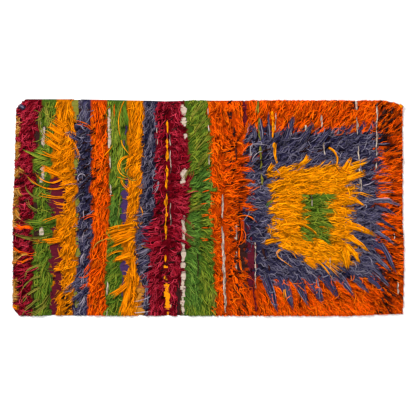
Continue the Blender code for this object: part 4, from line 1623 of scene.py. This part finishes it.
def felt_light(yarns, hollow):
    """The felt's painted shade: how light its colour is, dark under the strands and almost black in a hollow.
    """
    depth = np.array([YARNS[yarn_names[yarn]].depth for yarn in yarns])
    even = 1 + (EVEN_DARK + (1 - EVEN_DARK) * depth) * (FELT_DARK - 1)
    sunken = HOLLOW_DARK + (1 - depth) * HOLLOW_LIGHT
    return even + (sunken - even) * np.interp(hollow, (0, HOLLOW_EDGE), (1, 0))


def felt_mesh():
    """The felt: a closed mesh with the form of the height map."""
    body = felt_grid()
    open_up(body)
    where = cells(*on_plan([vertex.co for vertex in body.verts]))
    heights, yarns = blurred(wool_top)[where] * FELT_LEVEL - FELT_BELOW, spread_yarns()[where]
    dye = body.verts.layers.float_color.new("dye")
    fibre = body.verts.layers.float_vector.new("fibre")
    for vertex, height, yarn, light in zip(body.verts, heights, yarns, felt_light(yarns, hollows[where])):
        x, y, _ = vertex.co
        # The yarn's colour, darkened by the felt's painted shade.
        vertex[dye] = (*linear(YARNS[yarn_names[yarn]].main) * light, 1)
        vertex[fibre] = (x * FELT_FIBRE[0], y * FELT_FIBRE[1], 0)
        vertex.co = (*to_metres(x, y), max(height, GROUND_THICK + LEAST_FELT))
    under = bmesh.ops.extrude_face_region(body, geom=list(body.faces))
    for vertex in [item for item in under["geom"] if isinstance(item, bmesh.types.BMVert)]:
        vertex.co.z = GROUND_THICK * FELT_FOOT
    bmesh.ops.recalc_face_normals(body, faces=body.faces)
    mesh = bpy.data.meshes.new("felt")
    body.to_mesh(mesh)
    body.free()
    mesh.shade_smooth()
    return mesh


felt_piece = into_scene("felt", felt_mesh())
print("felt faces:", len(felt_piece.data.polygons))

# %% [markdown]
# ## From paths to meshes
#
# Each strand is bent from its rod: the rod's rings are spaced along the path and set square to it. The rod
# is a little flattened, because wool that lies down is, and a strand that was cut short has a blunter tip.

# %% Bend the rods
ALONG_ROD = (0, 0.2, 0.6, 0.85, 1)
POINTED = (0.8, 1, 0.85, 0.45, 0)
BLUNT = (0.8, 1, 0.95, 0.8, 0)
FLATNESS = 0.7
TWIST, TWIST_STEP = 0.3, 2.4
FIBRE_ACROSS, FIBRE_ALONG = 0.9, 0.12
UP = (0.0, 0.0, 1.0)


def unit(vectors):
    """Vectors brought to a length of 1."""
    return vectors / (np.linalg.norm(vectors, axis=2, keepdims=True) + NO_LENGTH)


def bend(wool):
    """Rods bent along the paths of wool: their vertices in metres, the fibre vector of each, and how much it
    faces up."""
    straight_rod, size = wool.rod, len(wool.yarn)
    share, lengths = straight_rod.along, straight_rod.lengths
    place = np.linspace(0, STEPS - 1, lengths + 1)[None, :].repeat(size, axis=0)
    x, y = to_metres(at_share(wool.x, place), at_share(wool.y, place))
    centre = np.stack([x, y, at_share(wool.z, place)], axis=2)
    ahead = unit(np.gradient(centre, axis=1))
    side = unit(np.cross(UP, ahead))
    over = np.cross(ahead, side)
    pointed, blunt = (np.interp(share, ALONG_ROD, widths)[None, :] for widths in (POINTED, BLUNT))
    reach = wool.radius[:, None, None] * np.where(wool.cut[:, None], blunt, pointed)[:, :, None]
    turn = straight_rod.around[None, :] + np.pi / 2 + np.sin(np.arange(size) * TWIST_STEP)[:, None] * TWIST
    ring = np.round(share * lengths).astype(int)
    out = np.cos(turn)[:, :, None] * side[:, ring] + FLATNESS * np.sin(turn)[:, :, None] * over[:, ring]
    length = np.linalg.norm(np.diff(centre, axis=1), axis=2).sum(axis=1)
    across = np.cos(turn) * wool.radius[:, None] / SQUARE * FIBRE_ACROSS
    along = share * length[:, None] / SQUARE * FIBRE_ALONG
    fibre = np.stack([across, along, np.zeros_like(turn)], axis=2)
    return centre[:, ring] + reach * out, fibre, np.sin(turn)


print("a strand is", FLATNESS, "times as high as it is wide")

# %% [markdown]
# The colour of a strand goes from its yarn's main colour towards the second one by its own tint. Painted
# shade makes it darker at the root, where the pile is deep, and at its flanks, where it touches its
# neighbours, and a painted highlight lightens its crest, which faces up.

# %% Dye the strands, with their painted shade and highlight
# Painted shade on a strand's flanks and at its root, and a painted highlight on its crest.
FLANK_LIGHT, CREST_LIGHT = 0.12, 1.3
FLANK_AT, CREST_AT = -0.5, 0.95
DARKEST_DYE, LIGHTEST_DYE = 0.04, 1.6
ROOT_SHARE = 0.45
main_dyes = np.array([linear(yarn.main) for yarn in YARNS.values()])
second_dyes = np.array([linear(yarn.second) for yarn in YARNS.values()])
depths = np.array([yarn.depth for yarn in YARNS.values()])


def dyed_and_shaded(wool, upward):
    """A colour for each vertex of each strand, by how far along it lies and how much it faces up, with
    painted shade at the root and flanks and a painted highlight on the crest.
    """
    tint = np.clip(wool.tint, 0, 1)[:, None]
    # How strongly the yarn darkens its darker strands, among them those dyed as painted shade, and takes the
    # painted shade of its flanks and the painted highlight of its crest.
    contrast = depths[wool.yarn]
    shade = np.where(wool.shade < 0, wool.shade * contrast, wool.shade)
    dye = main_dyes[wool.yarn] * (1 - tint) + second_dyes[wool.yarn] * tint
    dye = dye * np.clip(1 + shade, DARKEST_DYE, LIGHTEST_DYE)[:, None]
    light = wool.root[:, None] + (1 - wool.root[:, None]) * smooth(wool.rod.along / ROOT_SHARE)[None, :]
    flank = np.interp(upward, (FLANK_AT, CREST_AT), (FLANK_LIGHT, CREST_LIGHT))
    light = light * (1 + contrast[:, None] * (flank - 1))
    return dye[:, None, :] * light[:, :, None]


print(len(main_dyes), "yarns can be dyed")

# %% [markdown]
# Thousands of strands are too many for an object each, so all the strands of one colour become one mesh. A
# rod's faces are the same for every strand, only counted on from the last one's. So the operators shape one
# rod, and its copies are written straight into the mesh, which is far faster than joining objects.

# %% Join the strands
class Bundle:
    """Strands that will be one mesh."""

    def __init__(self):
        self.points, self.dyes, self.fibres, self.corners, self.starts = [], [], [], [], []
        self.point_count, self.corner_count = 0, 0

    def add(self, wool):
        """Bends and colours some strands, with their painted shade and highlight, and takes them in."""
        points, fibre, upward = bend(wool)
        size, each = points.shape[:2]
        fibre = fibre + chance.uniform(0, 100, (size, 1, 3))
        corners = np.concatenate([np.array(face) for face in wool.rod.faces])
        starts = np.cumsum([0] + [len(face) for face in wool.rod.faces[:-1]])
        copies = np.arange(size)[:, None]
        self.corners.append((corners[None, :] + copies * each + self.point_count).ravel())
        self.starts.append((starts[None, :] + copies * len(corners) + self.corner_count).ravel())
        self.points.append(points.reshape(-1, 3))
        self.dyes.append(dyed_and_shaded(wool, upward).reshape(-1, 3))
        self.fibres.append(fibre.reshape(-1, 3))
        self.point_count += size * each
        self.corner_count += size * len(corners)

    def object(self, name):
        """One object of all the strands taken in, with attributes for their colour, painted shade included,
        and fibres.
        """
        points, dyes = np.concatenate(self.points), np.concatenate(self.dyes)
        corners, starts = np.concatenate(self.corners), np.concatenate(self.starts)
        mesh = bpy.data.meshes.new(name)
        mesh.vertices.add(len(points))
        mesh.vertices.foreach_set("co", points.ravel())
        mesh.loops.add(len(corners))
        mesh.loops.foreach_set("vertex_index", corners)
        mesh.polygons.add(len(starts))
        mesh.polygons.foreach_set("loop_start", starts)
        mesh.update(calc_edges=True)
        dye = mesh.color_attributes.new("dye", "FLOAT_COLOR", "POINT")
        dye.data.foreach_set("color", np.c_[dyes, np.ones(len(dyes))].ravel())
        fibre = mesh.attributes.new("fibre", "FLOAT_VECTOR", "POINT")
        fibre.data.foreach_set("vector", np.concatenate(self.fibres).ravel())
        mesh.shade_smooth()
        return into_scene(name, mesh)


def chosen(wool, keep):
    """The strands of a batch that keep says to take."""
    return Wool(wool.rod, *(values[keep] for values in wool[1:]))


print("strands are joined in bundles")

# %% [markdown]
# Each pile takes the strands of some yarns that start on some stretch of the rug. Navy and orange, of which
# there is most, are split along the rug, so that no mesh gets too big.

# %% Pile by pile
START, STRIPES_END, FIELD_END, END = -10, 228, 310, 500
PILES = {
    "crimson_pile": (("crimson",), START, END),
    # The brown yarn also takes the near-black strands laid as painted shade in the gaps of worn places.
    "ground_threads_and_gap_shade": (("beige", "maroon", "purple", "brown"), START, END),
    "gold_pile": (("gold", "amber", "ochre"), START, END),
    "green_pile": (("green", "teal green", "olive"), START, END),
    "navy_stripe_pile": (("navy", "slate", "pale"), START, STRIPES_END),
    "navy_square_pile": (("navy", "slate", "pale"), STRIPES_END, END),
    "orange_stripe_pile": (("orange",), START, STRIPES_END),
    "orange_field_pile": (("orange",), STRIPES_END, FIELD_END),
    "orange_end_pile": (("orange",), FIELD_END, END),
}
piles = [felt_piece]
for name, (yarns, start, end) in PILES.items():
    bundle = Bundle()
    numbers = [yarn_names.index(yarn) for yarn in yarns]
    for wool in all_wool:
        keep = np.isin(wool.yarn, numbers) & (wool.x[:, 0] >= start) & (wool.x[:, 0] < end)
        if keep.any():
            bundle.add(chosen(wool, keep))
    piles.append(bundle.object(name))
triangles = {piece.name: sum(len(face.vertices) - 2 for face in piece.data.polygons) for piece in piles}
for name, count in triangles.items():
    print(name, count, "triangles")
print("triangles in all:", sum(triangles.values()))

# %% [markdown]
# ## Wool as a material
#
# Wool is matt and hardly shines. Its dye, with the painted shade and highlights worked out above, is read
# from the vertices, so one material serves every colour. A noise that is stretched along each strand
# streaks its colour and, as a bump, gives it fibres. It reads the fibre attribute, which holds how far
# along and across its strand a point lies, so the streaks bend with the strand.

# %% What the materials share
SHADER = "Principled BSDF"


def matt(name, roughness, shine):
    """A new material with a rough surface and little shine."""
    material = bpy.data.materials.new(name)
    material.use_nodes = True
    material.node_tree.nodes[SHADER].inputs["Roughness"].default_value = roughness
    material.node_tree.nodes[SHADER].inputs["Specular IOR Level"].default_value = shine
    return material


def add_node(material, kind, inputs, source=None):
    """Adds a node to a material, sets some of its inputs, and links a source to its vector input."""
    node = material.node_tree.nodes.new(kind)
    for name, value in inputs.items():
        node.inputs[name].default_value = value
    if source is not None:
        material.node_tree.links.new(source, node.inputs["Vector"])
    return node


def attribute(material, name):
    """A node that reads an attribute of the mesh."""
    node = add_node(material, "ShaderNodeAttribute", {})
    node.attribute_name = name
    return node


def streaked_by(material, pattern, low, high):
    """Makes a material's colour lighter and darker with a pattern. low and high each give a value of the
    pattern and how light the colour is there."""
    nodes, links = material.node_tree.nodes, material.node_tree.links
    steps = {"From Min": low[0], "To Min": low[1], "From Max": high[0], "To Max": high[1]}
    lightness = add_node(material, "ShaderNodeMapRange", steps)
    links.new(pattern, lightness.inputs["Value"])
    streaked = add_node(material, "ShaderNodeVectorMath", {})
    streaked.operation = "SCALE"
    links.new(attribute(material, "dye").outputs["Color"], streaked.inputs[0])
    links.new(lightness.outputs["Result"], streaked.inputs["Scale"])
    links.new(streaked.outputs["Vector"], nodes[SHADER].inputs["Base Color"])


def raised_by(material, pattern, strength, distance):
    """Gives a material relief from a pattern. distance is in metres."""
    nodes, links = material.node_tree.nodes, material.node_tree.links
    bump = add_node(material, "ShaderNodeBump", {"Strength": strength, "Distance": distance})
    links.new(pattern, bump.inputs["Height"])
    links.new(bump.outputs["Normal"], nodes[SHADER].inputs["Normal"])


print("materials are built on the", SHADER, "shader")

# %% [markdown]
# Where the noise is low the wool is dull, and where it is high it is bright, which gives each strand streaks
# a few fibres wide.

# %% The wool's material
DULL_STREAK, BRIGHT_STREAK = (0.3, 0.55), (0.7, 1.25)
FIBRE_RELIEF = 0.001


def wool_material():
    """Matt wool, coloured with painted shade and highlights by the vertices, and streaked along its fibres.
    """
    material = matt("dyed wool", roughness=0.85, shine=0.02)
    fibre = attribute(material, "fibre").outputs["Vector"]
    streaks = add_node(material, "ShaderNodeTexNoise", {"Scale": 1.0, "Detail": 2}, fibre)
    streaked_by(material, streaks.outputs["Fac"], DULL_STREAK, BRIGHT_STREAK)
    raised_by(material, streaks.outputs["Fac"], 0.6, FIBRE_RELIEF)
    return material


wool_look = wool_material()
for pile in piles:
    pile.data.materials.append(wool_look)
print("one wool material for", len(piles), "pieces")

# %% [markdown]
# The ground's ribs are too fine to model: about six lie side by side in every 40 mm. They are the bands of
# a wave texture, a little distorted because no weaver beats evenly, with flecks of noise for the fibres. The
# colour is darker where the ribs dip, as painted shade in the grooves, and flecked by the noise.

# %% The weave's material
RIB_SCALE = 50
FLECK_SCALE = 190
# Painted shade: the colour is darkest between the ribs, mixed with the flecks' random tone.
BETWEEN_RIBS, ON_RIBS = (0.5, 0.5), (1.5, 1.2)
RIB_RELIEF = 0.0012


def weave_material():
    """Woven wool with fine ribs along the rug."""
    material = matt("woven wool", roughness=0.9, shine=0.1)
    place = add_node(material, "ShaderNodeTexCoord", {}).outputs["Object"]
    uneven = {"Scale": RIB_SCALE, "Distortion": 1.0, "Detail Scale": 2}
    ribs = add_node(material, "ShaderNodeTexWave", uneven, place)
    ribs.wave_type = "BANDS"
    ribs.bands_direction = "Y"
    flecks = add_node(material, "ShaderNodeTexNoise", {"Scale": FLECK_SCALE, "Detail": 3}, place)
    mixed = add_node(material, "ShaderNodeMath", {})
    mixed.operation = "ADD"
    material.node_tree.links.new(ribs.outputs["Fac"], mixed.inputs[0])
    material.node_tree.links.new(flecks.outputs["Fac"], mixed.inputs[1])
    streaked_by(material, mixed.outputs["Value"], BETWEEN_RIBS, ON_RIBS)
    raised_by(material, ribs.outputs["Fac"], 0.7, RIB_RELIEF)
    return material


ground.data.materials.append(weave_material())
print("weave material on", ground.name)

# %% [markdown]
# ## Fitting it to the slab
#
# The slab is the rug's one rigid body. The ground and all the wool ride on it and are shown in its place.

# %% Fit the pieces to the frame
for piece in [ground, *piles]:
    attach(piece, "root")
    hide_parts("rug")
print(1 + len(piles), "pieces ride on the rug's body")

# %% [markdown]
# ## Photographing it
#
# The rug is photographed from straight above on white paper. A small lamp on the window side, low enough
# to throw the locks' shadows to the right and to the front, brings out the pile. A wide weak one and a
# white room fill the shadows. A long lens high up keeps the rug's edges straight.

# %% The floor
FLOOR_SIZE = 40
FLOOR_BELOW = 0.0004
bpy.ops.mesh.primitive_plane_add(size=FLOOR_SIZE, location=(0, 0, -FLOOR_BELOW))
floor = bpy.context.object
floor.name = "floor"
paper = matt("white paper", roughness=1.0, shine=0.0)
paper.node_tree.nodes[SHADER].inputs["Base Color"].default_value = (0.95, 0.95, 0.95, 1)
floor.data.materials.append(paper)
print("the floor lies", FLOOR_BELOW * 1000, "mm below the rug")

# %% [markdown]
# The world's even white light fills the shadows. The lamps are discs that face the middle of the rug: the
# smaller a disc, the crisper the shadows that it throws.

# %% Light
world = bpy.data.worlds.new("studio")
bpy.context.scene.world = world
world.use_nodes = True
world.node_tree.nodes["Background"].inputs["Color"].default_value = (1, 1, 1, 1)
world.node_tree.nodes["Background"].inputs["Strength"].default_value = 0.7


def softbox(name, place, size, power):
    """A round lamp that faces the middle of the rug. Its size is in metres and its power in watts."""
    light = bpy.data.lights.new(name, "AREA")
    light.shape = "DISK"
    light.size = size
    light.energy = power
    lamp = into_scene(name, light)
    lamp.location = place
    lamp.rotation_euler = (-Vector(place)).to_track_quat("-Z", "Y").to_euler()


softbox("window side", (-1.9, 2.2, 3.9), 1.3, 175)
softbox("far side", (2.0, -1.2, 4.2), 2.4, 40)
print(len(bpy.data.lights), "lamps")

# %% [markdown]
# The camera looks straight down, as a new one does, from the height at which the picture is 416 squares wide.

# %% The camera
PICTURE_SQUARES = 416
camera_data = bpy.data.cameras.new("camera")
camera_data.lens = 85
camera_data.sensor_width = 36
camera = into_scene("camera", camera_data)
camera_height = PICTURE_SQUARES * SQUARE * camera_data.lens / camera_data.sensor_width
camera.location = (0, 0, camera_height)
bpy.context.scene.camera = camera
bpy.context.scene.view_settings.view_transform = "Standard"
print("the camera is", round(camera_height, 2), "m up")
